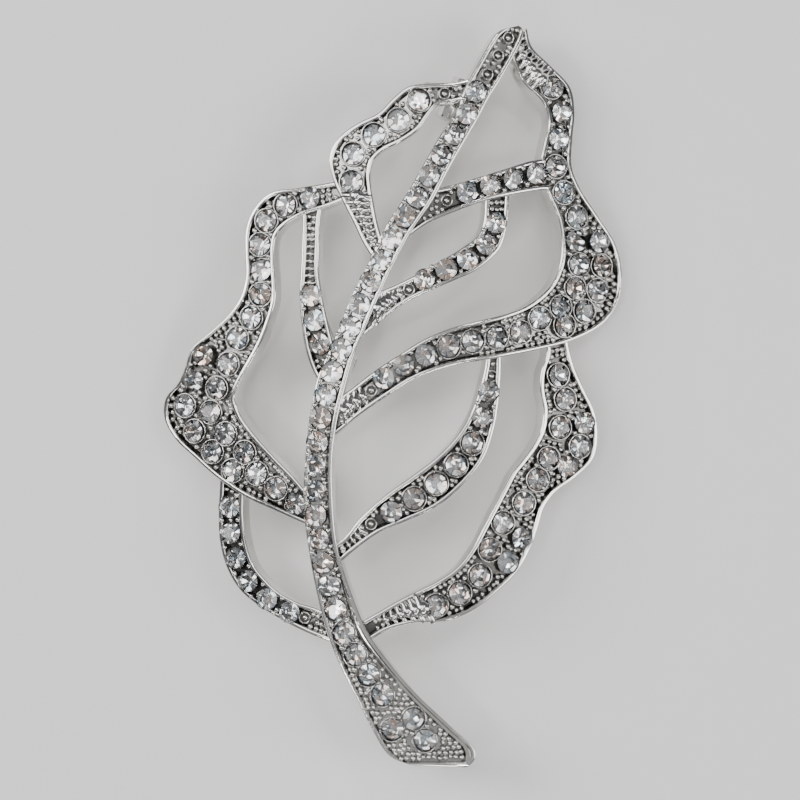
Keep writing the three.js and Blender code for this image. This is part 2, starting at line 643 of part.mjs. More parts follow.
function piece(name, made, material) {
  const mesh = new THREE.Mesh(geometryOf(made), material);
  mesh.name = name;
  return mesh;
}

const leaf = new THREE.Group();
const layers = LAYERS.map((layer, i) => layer.map((strand) => new Strand(strand, i)));
leaf.add(piece("leaf_casting", casting(layers), RHODIUM));

const midrib = layers.at(-1)[0];
midrib.seats().forEach((seat, i) => {
  const name = "midrib_stone_" + String(i + 1).padStart(2, "0");
  leaf.add(piece(name, solid(stone(seat, midrib.lift)), CRYSTAL));
});
for (const strand of layers.slice(0, -1).flat()) {
  leaf.add(piece(strand.name + "_stones", stoneRow(strand), CRYSTAL));
}

const pinWork = new THREE.Group();
pinWork.position.set(hingeAt.x, hingeAt.y, PIN_HEIGHT);
pinWork.rotation.z = pinTurn;
pinWork.add(piece("hinge_joint", hingeJoint(), RHODIUM));
pinWork.add(piece("hinge_rivet", hingeRivet(), STEEL));
pinWork.add(piece("pin_stem", pinStem(), STEEL));
pinWork.add(piece("catch_body", catchBody(), RHODIUM));
pinWork.add(piece("catch_roller", catchRoller(), RHODIUM));
leaf.add(pinWork);

// The origin is the middle of the surface that the brooch lies on.
const bounds = new THREE.Box3().setFromObject(leaf, true);
const centre = bounds.getCenter(new THREE.Vector3());
leaf.position.set(-centre.x, -centre.y, -bounds.min.z);
const brooch = new THREE.Group();
brooch.add(leaf);

export default brooch;
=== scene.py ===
import json
import math

import bmesh
import bpy
from bpy.props import FloatProperty, FloatVectorProperty, IntProperty, PointerProperty
from mathutils import Matrix, Vector
from mathutils.kdtree import KDTree


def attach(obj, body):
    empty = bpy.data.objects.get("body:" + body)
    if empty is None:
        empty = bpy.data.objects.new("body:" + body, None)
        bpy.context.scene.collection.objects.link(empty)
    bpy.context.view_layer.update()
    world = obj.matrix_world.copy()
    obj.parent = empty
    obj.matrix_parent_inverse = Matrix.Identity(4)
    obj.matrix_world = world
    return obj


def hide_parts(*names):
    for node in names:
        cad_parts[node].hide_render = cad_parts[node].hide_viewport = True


bl_info = {
    "name": "Leaf Brooch",
    "version": (1, 0, 0),
    "blender": (4, 5, 0),
    "location": "View3D > Sidebar > Brooch",
    "description": "Makes an openwork leaf brooch with set stones and pin work",
    "category": "Add Mesh",
}

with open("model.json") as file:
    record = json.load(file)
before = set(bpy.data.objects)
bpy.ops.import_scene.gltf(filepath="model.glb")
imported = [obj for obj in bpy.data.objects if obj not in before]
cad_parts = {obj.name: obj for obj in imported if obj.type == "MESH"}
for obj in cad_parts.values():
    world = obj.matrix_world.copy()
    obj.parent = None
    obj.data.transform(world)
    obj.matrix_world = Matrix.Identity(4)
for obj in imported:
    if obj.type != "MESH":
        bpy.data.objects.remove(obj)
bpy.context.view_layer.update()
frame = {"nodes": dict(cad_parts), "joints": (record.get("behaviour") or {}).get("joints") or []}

MM = 0.001  # drawings below are in millimetres

# ---- The leaf as drawn ---------------------------------------------------------------------------
# Each rib crosses a strand: left edge x, y, then right edge x, y. A run of stones is
# (from, to, side at from, side at to), measured along the strand and off its middle line.
# A cup is (along, side), a ladder of rungs is (from, to).
STRANDS = [
    {
        "name": "middle_vein",
        "layer": 0,
        "ribs": [
            (-5.4, -13.1, -4.9, -14.8), (-4.2, -12.3, -3.4, -13.5), (-2.6, -10.4, -1.2, -11.9),
            (-0.6, -8.6, 1, -10.95), (1.8, -6.9, 3.9, -9.6), (4, -5.2, 6.3, -7.6), (5.7, -3.4, 8, -5.4),
            (6.8, -1.6, 8.95, -2.6), (7.5, 0.2, 9.35, 0), (8.1, 2.6, 9.5, 2.6), (8.2, 4, 9.5, 4),
        ],
        "runs": [(6.4, 20.5, 0.1, -0.1)],
        "cups": [(4.4, 0), (21.9, 0)],
        "ladders": [(1.2, 3.4)],
    },
    {
        "name": "right_lobe",
        "layer": 0,
        "ribs": [
            (13.2, 5.4, 15.3, 5.6), (13.5, 3.7, 15.5, 4.3), (13, 2.1, 16, 2.5), (12.9, 0.6, 16.8, 0.7),
            (13.2, -1.2, 17.8, -1.4), (13, -2.9, 18.1, -3.5), (12.3, -4.3, 17.7, -5.5),
            (11.4, -5.5, 16.2, -7), (10.5, -6.6, 14.3, -8.4), (9.8, -7.9, 13.3, -9.7),
            (9, -9.4, 12.8, -11.3), (8, -11.3, 12.2, -13), (6.9, -13.3, 11, -15.2),
            (5.6, -14.9, 9.2, -17), (4, -16, 6.9, -18.7), (2.2, -16.9, 4.4, -19.6),
            (0.4, -17.8, 1.8, -19.75), (-1, -18.6, -0.3, -20.3), (-2.4, -19.4, -2.1, -21.3),
        ],
        "runs": [
            (3.7, 5.9, 0, 0), (7.9, 11.9, 1.25, 1.15), (8.5, 11.6, -0.85, -0.75), (14, 16.4, 0.1, 0.2),
            (18.7, 21.3, -0.85, -0.85), (19.3, 21.7, 1.2, 1.1), (23.8, 28.5, -0.1, 0.1),
        ],
        "ladders": [(29.6, 33)],
    },
    {
        "name": "upper_vein",
        "layer": 0,
        "ribs": [
            (-1.4, 8.9, -2.9, 4.9), (-0.4, 9.3, -0.7, 6.7), (0.5, 9.7, 1.3, 8.1), (2.1, 10.5, 2.9, 8.9),
            (4.2, 11.7, 5.2, 9.9), (6.2, 12.9, 7.5, 11), (7.6, 14.1, 9.4, 12.8), (8, 15.3, 10, 14.6),
            (8.1, 17, 10.25, 17), (8.3, 18.4, 10.2, 18.4),
        ],
        "runs": [(5.9, 14.3, -0.2, 0)],
        "cups": [(4.3, 0)],
        "ladders": [(1.2, 3.4)],
    },
    {
        "name": "left_vein",
        "layer": 0,
        "ribs": [
            (-7.9, 17, -5.9, 17), (-7.8, 15.2, -6.2, 15.6), (-7.85, 13, -6.3, 13),
            (-7.95, 10.8, -6.35, 10.8), (-8.05, 8.7, -6.05, 8.7), (-7.9, 6.4, -5.6, 6.6),
            (-7.5, 4, -5.1, 4.6), (-6.9, 2.2, -4.6, 2.7), (-6, 0.6, -4.3, 1.2),
        ],
        "runs": [(8.3, 12.6, 0, 0)],
        "ladders": [(3.4, 7.2)],
    },
    {
        "name": "lower_left_lobe",
        "layer": 0,
        "ribs": [
            (-15, -6, -12.9, -6.8), (-15.1, -8, -13, -8.8), (-15.2, -10.2, -13, -10.6),
            (-15.1, -12.6, -12.7, -12.8), (-14.5, -14.9, -12.1, -14.6), (-13.3, -16.9, -11.1, -15.9),
            (-11.6, -18.3, -9.9, -17), (-9.4, -19.6, -8.2, -17.9), (-7.3, -20.6, -6.6, -18.4),
            (-5.2, -21.4, -5, -19.2),
        ],
        "runs": [(3.3, 14.5, -0.1, -0.1)],
        "cups": [(15.9, 0)],
    },
    {
        "name": "left_lobe",
        "layer": 1,
        "ribs": [
            (-4.2, 18.7, -3.9, 17), (-6, 18.4, -5.7, 16.3), (-8.3, 18.05, -7.6, 15.7),
            (-10.5, 17.7, -9.2, 14.8), (-12, 16.3, -10, 13.9), (-12.7, 14.6, -10.2, 13),
            (-12.8, 12.4, -10.2, 11.6), (-12.75, 10.4, -10.1, 10), (-13.2, 8.6, -10.1, 8.3),
            (-14.4, 6.9, -10.6, 6.5), (-16.1, 5.4, -11.3, 4.7), (-17.6, 4.1, -12.2, 3),
            (-18.15, 2.5, -13, 1.6), (-18.8, 1.1, -13.5, 0.6), (-19.9, -0.2, -13.7, -0.1),
            (-20, -2, -13.5, -0.9), (-19, -3.8, -13.1, -1.8), (-17.4, -5.3, -12.4, -2.8),
            (-15.4, -7.05, -11.4, -4), (-12.9, -8.7, -10.1, -5.4), (-10.3, -9.9, -8.6, -6.9),
            (-7.8, -11, -7.2, -8.5), (-6.4, -11.6, -6, -9.4),
        ],
        "runs": [
            (3.2, 18.4, -0.1, 0.2), (20.6, 31.6, -1.45, -1.1), (21, 31, 0.9, 0.85),
            (33.2, 37.4, 0.1, -0.2),
        ],
    },
    {
        "name": "tip_lobe",
        "layer": 1,
        "ribs": [
            (10.6, 30.6, 11.75, 32.1), (10.5, 29.3, 12.2, 30.5), (11.5, 27.2, 13.9, 28.8),
            (13.1, 25.6, 15.6, 27), (13.65, 23.9, 16, 24.8), (13.3, 22.2, 15.8, 22.4),
            (12.9, 19.8, 15.75, 20), (13.6, 17.6, 16.5, 18.1), (14.5, 15.4, 18.1, 15.7),
            (14.8, 13.2, 19.6, 13.4), (14.6, 11.4, 20.2, 11.1), (14, 9.9, 20, 8.6),
            (13, 8.8, 18.7, 6.5), (11.6, 7.8, 15.9, 4.9), (9.8, 7.1, 12.6, 4), (7.4, 6.5, 8.6, 3.2),
            (5, 5.85, 5.9, 2.75), (2.7, 4.85, 3.7, 2.15), (0.6, 3.55, 1.7, 1.3),
            (-1.6, 2.1, -0.3, 0.05), (-3.4, 0.7, -2.7, -1.6), (-4.9, -0.4, -4.9, -3.4),
        ],
        "runs": [
            (5.4, 17.4, 0.1, -0.1), (19.6, 28.7, -1.1, -0.85), (19.7, 27.9, 1, 0.9),
            (31.2, 43.9, 0, -0.25),
        ],
        "cups": [(45.3, 0)],
        "ladders": [(1, 4.4), (46.2, 48.2)],
    },
    {
        "name": "tip_vein",
        "layer": 1,
        "ribs": [
            (1.6, 17, 1, 13.4), (3.2, 17.8, 2.9, 14.8), (5.2, 18.3, 5.6, 16), (7.6, 19, 8.2, 16.95),
            (10, 19.8, 10.6, 17.5), (12.2, 20.5, 13.2, 17.95), (14.4, 20.8, 14.8, 18),
        ],
        "runs": [(5.8, 12.1, -0.1, -0.15)],
        "cups": [(3.9, 0)],
    },
    {
        "name": "upper_left_lobe",
        "layer": 2,
        "ribs": [
            (7, 27.6, 6.8, 25.7), (5.4, 27.2, 5.2, 25.4), (3.3, 27.1, 3.9, 25.1), (1.4, 26.8, 3, 24),
            (0.1, 25.8, 2.3, 23), (-1.2, 24.5, 0.9, 22), (-3, 23.6, -0.7, 21.2),
            (-4.6, 22.4, -1.6, 20.3), (-5.4, 20.8, -1.85, 19.3), (-5.2, 19, -1.8, 18.2),
            (-4.4, 17.1, -1.6, 16.9), (-3.4, 15.1, -1.3, 15.3), (-2.5, 13.2, -0.9, 13.8),
            (-1.7, 11.9, -0.4, 12.5),
        ],
        "runs": [(4.7, 14.6, -0.1, 0)],
        "cups": [(2.4, 0)],
        "ladders": [(15.9, 21)],
    },
    {
        "name": "midrib",
        "layer": 3,
        "ribs": [
            (10.3, 32.2, 11.6, 32.3), (9.1, 31.6, 11.2, 30.9), (8.2, 30.3, 10.4, 29.3),
            (7.3, 28.7, 9.4, 27.5), (6.2, 26.6, 8.4, 25.9), (5.6, 24.6, 7.4, 24),
            (4.3, 22.8, 6.2, 21.9), (2.9, 20.4, 4.9, 19.6), (1.3, 17.6, 3.5, 16.9),
            (-0.7, 14.4, 1.5, 13.9), (-2.3, 10.9, -0.2, 10.6), (-3.6, 8.4, -1.4, 7.9),
            (-4.5, 6, -2.4, 5.5), (-5.4, 3.9, -3.2, 3.6), (-6.4, 1.6, -3.9, 1.2),
            (-7, -1.2, -4.6, -1.6), (-7.45, -5, -5.1, -5.2), (-7.65, -9.4, -5.05, -9.6),
            (-7.2, -13.2, -4.65, -13.1), (-6.5, -17, -3.5, -16.9), (-5.5, -20.8, -2, -20.5),
            (-4.5, -23.3, 0, -23.3), (-3.2, -25.9, 2.35, -26), (-1.6, -29.1, 5.3, -28.8),
            (-0.4, -31, 7.2, -30.8), (1.2, -32, 7, -32.3),
        ],
        "runs": [(6.9, 63.6, -0.1, -0.36), (66.1, 68.5, -1.35, -2.1), (66.2, 68.6, 0.8, 0.25)],
        "cups": [(1.4, 0), (3.2, 0), (5.1, 0)],
        "ends": 0.42,
    },
]

# ---- Settings ------------------------------------------------------------------------------------
class LeafSettings(bpy.types.PropertyGroup):
    thickness: FloatProperty(
        name="Casting thickness", description="Strand, rail top to back, mm", default=1.8, min=1.0)
    rail: FloatProperty(
        name="Rail", description="Width of the bright rim of a strand, mm", default=0.42, min=0.2)
    floor: FloatProperty(
        name="Floor depth", description="Rail top down to the floor of a strand, mm", default=0.62, min=0.2)
    lean: FloatProperty(
        name="Wall lean", description="How far a rail's inner wall leans in at its foot, mm", default=0.1)
    step: FloatProperty(
        name="Layer step", description="How much a crossing strand stands above the last, mm", default=0.12)
    facet: FloatProperty(
        name="Length step", description="Distance between sections along a strand, mm", default=0.3, min=0.1)


class StoneSettings(bpy.types.PropertyGroup):
    diameter: FloatProperty(
        name="Diameter", description="Stone across its girdle, mm", default=2.0, min=0.5)
    gap: FloatProperty(
        name="Gap", description="Least gap between stones in a row, mm", default=0.08, min=0.0)
    crown: FloatProperty(name="Crown", description="Crown height as a share of the diameter", default=0.17)
    pavilion: FloatProperty(name="Pavilion", description="Pavilion depth, share of diameter", default=0.40)
    table: FloatProperty(name="Table", description="Table radius as a share of the radius", default=0.56)
    bare: FloatProperty(
        name="Bare share", description="Share of a stone's width that its setting leaves bare", default=0.96)
    wobble: FloatProperty(
        name="Wobble", description="How far a hand-set stone leans at most", subtype="ANGLE",
        default=math.radians(8))
    seed: IntProperty(name="Seed", description="Order of the stones' random turns", default=7)


class SettingSettings(bpy.types.PropertyGroup):
    grain: FloatProperty(name="Grain", description="Diameter of a cast grain, mm", default=0.46, min=0.1)
    pitch: FloatProperty(name="Grain pitch", description="Distance between grains, mm", default=0.5, min=0.1)
    cup: FloatProperty(name="Cup", description="Outer diameter of an empty seat, mm", default=1.05, min=0.2)
    rung: FloatProperty(name="Rung pitch", description="Distance between rungs, mm", default=0.62, min=0.2)
    seed: IntProperty(name="Seed", description="Order of the grains' random places", default=3)


class PinSettings(bpy.types.PropertyGroup):
    wire: FloatProperty(name="Pin wire", description="Pin diameter, mm", default=0.8, min=0.3)
    overhang: FloatProperty(name="Overhang", description="Pin tip past the catch, mm", default=2.3)
    ear: FloatProperty(name="Ear radius", description="Radius of a hinge ear, mm", default=1.25)
    catch: FloatProperty(name="Catch", description="Length of the safety catch, mm", default=3.8)


class FinishSettings(bpy.types.PropertyGroup):
    plate: FloatVectorProperty(
        name="Plate", description="Colour of the bright plate", subtype="COLOR", size=3,
        default=(0.83, 0.815, 0.79), min=0.0, max=1.0)
    # Painted shade: the dark colour that the plate, grains, collars and cups are mixed towards in hollows
    # and low down.
    recess: FloatVectorProperty(
        name="Recess", description="Colour of the plate deep in the strands", subtype="COLOR", size=3,
        default=(0.1, 0.096, 0.09), min=0.0, max=1.0)
    steel: FloatVectorProperty(
        name="Pin steel", description="Colour of the pin wire", subtype="COLOR", size=3,
        default=(0.62, 0.61, 0.59), min=0.0, max=1.0)
    crystal: FloatVectorProperty(
        name="Crystal", description="Colour of the stones", subtype="COLOR", size=3,
        default=(0.97, 0.985, 1.0), min=0.0, max=1.0)


class StageSettings(bpy.types.PropertyGroup):
    floor: FloatVectorProperty(
        name="Floor", description="Colour of the floor", subtype="COLOR", size=3,
        default=(0.94, 0.93, 0.915), min=0.0, max=1.0)
    key: FloatProperty(
        name="Key light", description="What every light's power is scaled by", default=1.5, min=0.0)
    distance: FloatProperty(
        name="Camera distance", description="Camera above the leaf", unit="LENGTH", default=0.35, min=0.1)
    view: FloatProperty(
        name="View width", description="Width that the camera sees at the leaf", unit="LENGTH",
        default=0.0696, min=0.01)


SETTINGS = {
    "brooch_leaf": LeafSettings,
    "brooch_stones": StoneSettings,
    "brooch_setting": SettingSettings,
    "brooch_pin": PinSettings,
    "brooch_finish": FinishSettings,
    "brooch_stage": StageSettings,
}

# ---- Where the CAD puts things -------------------------------------------------------------------
JOINTS = {joint["name"]: joint for joint in frame["joints"]}
HINGE_DRAWN = Vector((-5.0, 2.6, 1.85))  # hinge axis on the drawn leaf
HINGE = Vector(JOINTS["pin_hinge"]["pos_m"]) / MM
CATCH = Vector(JOINTS["roller_turn"]["pos_m"]) / MM
PIN_LEFT = Vector(JOINTS["pin_hinge"]["axis"])
SHIFT = HINGE - HINGE_DRAWN
DOME_ACROSS = 0.0138  # fall of the dome, mm per mm squared
DOME_ALONG = 0.001
GIRDLE_LEVEL = 0.06  # a stone's girdle above the rail top
SEAT_CLEARANCE = 0.03
CLEAR_ABOVE = 2.0  # how far cutters reach above the rails
TINY = 1e-6


def dome_fall(x, y):
    """How far the dome lies below its summit at a plan point, mm."""
    return DOME_ACROSS * x * x + DOME_ALONG * y * y


def dome_normal(x, y):
    return Vector((2 * DOME_ACROSS * x, 2 * DOME_ALONG * y, 1)).normalized()


# ---- Smooth strands ------------------------------------------------------------------------------
STEPS_PER_RIB = 20  # at which a strand's length is measured
STRAND_STEPS = 200  # at which a whole strand is walked
ROW_STEPS = 60  # at which a row is walked to space its stones


def smooth_point(points, share):
    """A point of the centripetal curve through the points, share running from 0 to 1."""
    last = len(points) - 1
    place = share * last
    i = min(int(place), last - 1)
    part = place - i
    p1, p2 = points[i], points[i + 1]
    p0 = points[i - 1] if i > 0 else p1 * 2 - p2
    p3 = points[i + 2] if i + 2 <= last else p2 * 2 - p1
    d0 = math.sqrt((p1 - p0).length) or 1.0
    d1 = math.sqrt((p2 - p1).length) or 1.0
    d2 = math.sqrt((p3 - p2).length) or 1.0
    t1 = ((p1 - p0) / d0 - (p2 - p0) / (d0 + d1) + (p2 - p1) / d1) * d1
    t2 = ((p2 - p1) / d1 - (p3 - p1) / (d1 + d2) + (p3 - p2) / d2) * d1
    c2 = p1 * -3 + p2 * 3 - t1 * 2 - t2
    c3 = p1 * 2 - p2 * 2 + t1 + t2
    return p1 + t1 * part + c2 * part**2 + c3 * part**3


def path_lengths(points):
    lengths = [0.0]
    for a, b in zip(points, points[1:]):
        lengths.append(lengths[-1] + (b - a).length)
    return lengths


class Strand:
    def __init__(self, name, layer, ribs, runs, cups=(), ladders=(), ends=0.0):
        self.name, self.layer, self.runs, self.cups, self.ladders, self.ends = (
            name, layer, runs, cups, ladders, ends)
        self.left = [Vector((rib[0], rib[1])) for rib in ribs]
        self.right = [Vector((rib[2], rib[3])) for rib in ribs]
        steps = STEPS_PER_RIB * len(ribs)
        self.lengths = path_lengths([self.rib(i / steps)[2] for i in range(steps + 1)])
        self.length = self.lengths[-1]
        middles = [(a + b) / 2 for a, b in zip(self.left, self.right)]
        drawn = path_lengths(
            [smooth_point(middles, i / STRAND_STEPS) for i in range(STRAND_STEPS + 1)])[-1]
        self.stretch = self.length / drawn

    def rib(self, share):
        left = smooth_point(self.left, share)
        right = smooth_point(self.right, share)
        return left, right, (left + right) / 2

    def rib_at(self, along):
        """The left, right and middle points of the rib at a place along the strand."""
        target = min(max(along, 0.0), self.length)
        i = 1
        while i < len(self.lengths) - 1 and self.lengths[i] < target:
            i += 1
        part = (target - self.lengths[i - 1]) / (self.lengths[i] - self.lengths[i - 1])
        return self.rib((i - 1 + part) / (len(self.lengths) - 1))

    def spot(self, along, side):
        """The plan point at a place along the drawn strand, off its middle line."""
        left, right, middle = self.rib_at(along * self.stretch)
        return middle + (right - left).normalized() * side

    def seats(self, diameter, gap):
        """The plan points of the strand's stones, spread evenly over each run."""
        seats = []
        for start, end, side_start, side_end in self.runs:
            path = []
            for i in range(ROW_STEPS + 1):
                share = i / ROW_STEPS
                path.append(self.spot(start + (end - start) * share,
                                      side_start + (side_end - side_start) * share))
            lengths = path_lengths(path)
            count = int(lengths[-1] / (diameter + gap) + TINY) + 1
            for k in range(count):
                target = lengths[-1] * (k / (count - 1) if count > 1 else 0.5)
                i = next((n for n, length in enumerate(lengths) if length >= target - TINY), 1) or 1
                part = (target - lengths[i - 1]) / (lengths[i] - lengths[i - 1])
                seats.append(path[i - 1].lerp(path[i], part))
        return seats


STRAND_SET = [Strand(**drawn) for drawn in STRANDS]
MIDRIB = STRAND_SET[-1]


def lowest_edge(thickness):
    """How far the lowest strand edge lies under the dome's crown."""
    drop = 0.0
    for strand in STRAND_SET:
        for end in strand.left + strand.right:
            drop = max(drop, dome_fall(*end) + thickness * dome_normal(*end).z)
    return drop


def on_dome(spot, rise, leaf):
    """The point over a spot of the plan, in metres, raised by rise millimetres along the dome's normal."""
    x, y = spot
    surface = Vector((x, y, lowest_edge_of(leaf) - dome_fall(x, y)))
    return (surface + dome_normal(x, y) * rise + SHIFT) * MM


_crowns = {}


def lowest_edge_of(leaf):
    key = round(leaf.thickness, 6)
    if key not in _crowns:
        _crowns[key] = lowest_edge(leaf.thickness)
    return _crowns[key]


# ---- Meshes --------------------------------------------------------------------------------------
def new_object(name, mesh):
    thing = bpy.data.objects.new(name, mesh)
    bpy.context.scene.collection.objects.link(thing)
    return thing


def mesh_from(name, verts, faces):
    mesh = bpy.data.meshes.new(name)
    mesh.from_pydata(verts, [], faces)
    tidy_normals(mesh)
    return mesh


def tidy_normals(mesh):
    shape = bmesh.new()
    shape.from_mesh(mesh)
    bmesh.ops.recalc_face_normals(shape, faces=shape.faces)
    shape.to_mesh(mesh)
    shape.free()


def loft(name, sections):
    """A closed body through rings of the same number of points."""
    sides = len(sections[0])
    verts = [point for ring in sections for point in ring]
    faces = []
    for i in range(len(sections) - 1):
        for j in range(sides):
            a, b = i * sides + j, i * sides + (j + 1) % sides
            faces.append((a, b, b + sides, a + sides))
    last = (len(sections) - 1) * sides
    faces.append(tuple(range(sides))[::-1])
    faces.append(tuple(range(last, last + sides)))
    return mesh_from(name, verts, faces)


def flatten(thing):
    """Puts the result of an object's modifiers in its mesh, and removes them."""
    bpy.context.view_layer.update()
    seen = thing.evaluated_get(bpy.context.evaluated_depsgraph_get())
    mesh = bpy.data.meshes.new_from_object(seen)
    thing.modifiers.clear()
    thing.data = mesh
    return thing


def boolean(thing, other_mesh, operation):
    other = new_object("cutter", other_mesh)
    cut = thing.modifiers.new("cut", "BOOLEAN")
    cut.operation = operation
    cut.solver = "MANIFOLD"
    cut.object = other
    flatten(thing)
    bpy.data.objects.remove(other)


def shade(mesh, degrees):
    """Smooth shading, kept sharp where faces meet at more than the angle."""
    mesh.shade_smooth()
    mesh.set_sharp_from_angle(angle=math.radians(degrees))


def joined_mesh(name, meshes):
    shape = bmesh.new()
    for mesh in meshes:
        shape.from_mesh(mesh)
    whole = bpy.data.meshes.new(name)
    shape.to_mesh(whole)
    shape.free()
    return whole


def finished(thing, body, slot, material, *nodes):
    if material:
        thing.data.materials.clear()
        thing.data.materials.append(material)
    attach(thing, body)
    if nodes:
        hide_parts(*nodes)
    return thing


# ---- The casting ---------------------------------------------------------------------------------
ARC_STEPS = 4  # of a rail's rounding
FLOOR_STEPS = 4  # across a strand's floor
END_STEPS = 6  # of a free end's rounding
RAIL_ROUNDING = 0.36  # rounding of a rail's edges, as a share of its width
BACK_ROUNDING = 0.15  # rounding of the casting's back edges, mm
FOOT_ROUNDING = 0.08  # fillet at the foot of a rail, mm
CORNER = 0.9  # rounding of a free end's corners, mm
NARROWEST = 0.44  # most that a side takes of a strand's width
STEM_RAIL = 0.45  # extra width of the stem's right rail, which has a groove along it, mm
STEM_RAIL_FROM, STEM_RAIL_FULL = 52.0, 57.0  # along the midrib, mm
GROOVE_AT, GROOVE_WIDTH, GROOVE_DEPTH = 0.46, 0.16, 0.16  # the first from the stem's edge, mm
BORE_SIDES = 24
BORE_APART = 0.05  # least metal between two seats that are bored in one cut, mm
CAST_SHARP = 38  # faces that meet at more than this many degrees keep a sharp edge
TREE_STEP = 0.35  # between the places of a search tree, mm
NEIGHBOURS = 10  # places of a search tree that are looked at for a corner of the casting
RAIL_SHARE = 0.86  # past this share of a strand's half width a corner counts as the rail's
RECESS_START = 0.1  # depth under the rail at which painted shade begins to darken the plate, mm


def wider_rail(strand, along):
    """How much wider the right rail is than the left one; only the stem has such a rail."""
    if strand is not MIDRIB:
        return 0.0
    share = (along / strand.stretch - STEM_RAIL_FROM) / (STEM_RAIL_FULL - STEM_RAIL_FROM)
    return STEM_RAIL * min(max(share, 0.0), 1.0)


def ring_of(strand, along, half_profile, middle_rise, leaf, squeeze=0.0, widen=0.0):
    """A closed ring across a strand: (inset, rise) pairs down one side, then back up the other."""
    left, right, _ = strand.rib_at(along)
    width = (right - left).length
    across = (right - left) / width
    squeeze = min(squeeze, NARROWEST * width)
    left, right, width = left + across * squeeze, right - across * squeeze, width - 2 * squeeze
    limit = NARROWEST * width
    down = [(left + across * min(inset, limit), rise) for inset, rise in half_profile]
    up = [(right - across * min(inset + widen, limit), rise) for inset, rise in reversed(half_profile)]
    start, end = down[-1][0], up[0][0]
    floor = [(start.lerp(end, k / FLOOR_STEPS), middle_rise) for k in range(1, FLOOR_STEPS)]
    return [on_dome(spot, rise, leaf) for spot, rise in down + floor + up]


def stations(start, end, step, rounding=0.0):
    """Places along a strand, with a few more inside a rounded end."""
    count = max(2, math.ceil((end - start) / step))
    places = [start + (end - start) * i / count for i in range(count + 1)]
    if rounding:
        near = [rounding * (1 - math.cos(math.pi / 2 * k / END_STEPS)) for k in range(1, END_STEPS)]
        places = [p for p in places if p < start + TINY or p > start + rounding]
        places = [p for p in places if p > end - TINY or p < end - rounding]
        near.append(rounding)
        places += [start + d for d in near] + [end - d for d in near]
    return sorted(places)


def end_drop(distance, radius):
    """How far a quarter-round end has fallen at a distance inside the end."""
    inside = max(radius - distance, 0.0)
    return radius - math.sqrt(max(radius**2 - inside**2, 0.0))


def strand_plate(strand, leaf):
    """A strand's full body, before its channel is cut."""
    radius = RAIL_ROUNDING * leaf.rail
    lift = strand.layer * leaf.step
    bottom = lift / 2 - leaf.thickness
    rounding = CORNER if strand.ends else 0.0
    rings = []
    for along in stations(0, strand.length, leaf.facet, rounding):
        inside = min(along, strand.length - along) if strand.ends else CORNER
        drop = end_drop(inside, radius)
        profile = []
        for k in reversed(range(ARC_STEPS + 1)):
            turn = math.pi / 2 * k / ARC_STEPS
            profile.append((radius * (1 - math.cos(turn)), lift - drop - radius * (1 - math.sin(turn))))
        profile += [(0, bottom + BACK_ROUNDING), (BACK_ROUNDING, bottom)]
        rings.append(ring_of(strand, along, profile, bottom, leaf, end_drop(inside, CORNER)))
    return loft(strand.name + "_plate", rings)


def strand_channel(strand, leaf):
    """The cutter of the channel between a strand's rails."""
    radius = RAIL_ROUNDING * leaf.rail
    lift = strand.layer * leaf.step
    floor = lift - leaf.floor
    inner = leaf.rail - radius
    profile = [(inner, lift + CLEAR_ABOVE)]
    for k in range(ARC_STEPS + 1):
        turn = math.pi / 2 * k / ARC_STEPS
        profile.append((inner + radius * math.sin(turn), lift - radius * (1 - math.cos(turn))))
    foot = leaf.rail + leaf.lean
    profile += [(foot, floor + FOOT_ROUNDING), (foot + FOOT_ROUNDING, floor)]
    places = stations(strand.ends, strand.length - strand.ends, leaf.facet)
    rings = [ring_of(strand, along, profile, floor, leaf, widen=wider_rail(strand, along))
             for along in places]
    return loft(strand.name + "_channel", rings)


def stem_groove(leaf):
    """The cutter of the fine groove along the stem's wide rail."""
    lift = MIDRIB.layer * leaf.step
    rings = []
    for along in stations(STEM_RAIL_FROM * MIDRIB.stretch, MIDRIB.length - CORNER, leaf.facet):
        left, right, _ = MIDRIB.rib_at(along)
        across = (right - left).normalized()
        share = wider_rail(MIDRIB, along) / STEM_RAIL
        middle = right - across * GROOVE_AT
        corners = ((-GROOVE_WIDTH / 2, CLEAR_ABOVE), (-GROOVE_WIDTH / 2, 0.0), (0.0, -GROOVE_DEPTH * share),
                   (GROOVE_WIDTH / 2, 0.0), (GROOVE_WIDTH / 2, CLEAR_ABOVE))
        rings.append([on_dome(middle + across * side, lift + rise, leaf) for side, rise in corners])
    return loft("stem_groove", rings)


def upright_at(spot, rise, leaf):
    """The frame of a piece that stands on the dome over a spot."""
    turn = dome_normal(*spot).to_track_quat("Z", "Y")
    return Matrix.LocRotScale(on_dome(spot, rise, leaf), turn, Vector((MM, MM, MM)))


def lathe(name, profile, sides, place=None):
    """A closed body of revolution about z; the profile's first and last points lie on the axis."""
    verts = [Vector((0, 0, profile[0][1])), Vector((0, 0, profile[-1][1]))]
    rings = profile[1:-1]
    for radius, height in rings:
        for k in range(sides):
            turn = 2 * math.pi * k / sides
            verts.append(Vector((radius * math.cos(turn), radius * math.sin(turn), height)))
    faces = []
    top = 2 + (len(rings) - 1) * sides
    for k in range(sides):
        after = (k + 1) % sides
        faces.append((0, 2 + after, 2 + k))
        faces.append((1, top + k, top + after))
        for i in range(len(rings) - 1):
            a = 2 + i * sides
            faces.append((a + k, a + after, a + sides + after, a + sides + k))
    if place is not None:
        verts = [place @ v for v in verts]
    return mesh_from(name, verts, faces)


def apart(spots, distance):
    """Sorts spots into groups in which no two are closer than the distance."""
    groups = []
    for item in spots:
        for group in groups:
            if all((item[0] - other[0]).length > distance for other in group):
                group.append(item)
                break
        else:
            groups.append([item])
    return groups


def all_seats(stones):
    """(spot, strand) of every stone."""
    return [(spot, strand) for strand in STRAND_SET for spot in strand.seats(stones.diameter, stones.gap)]


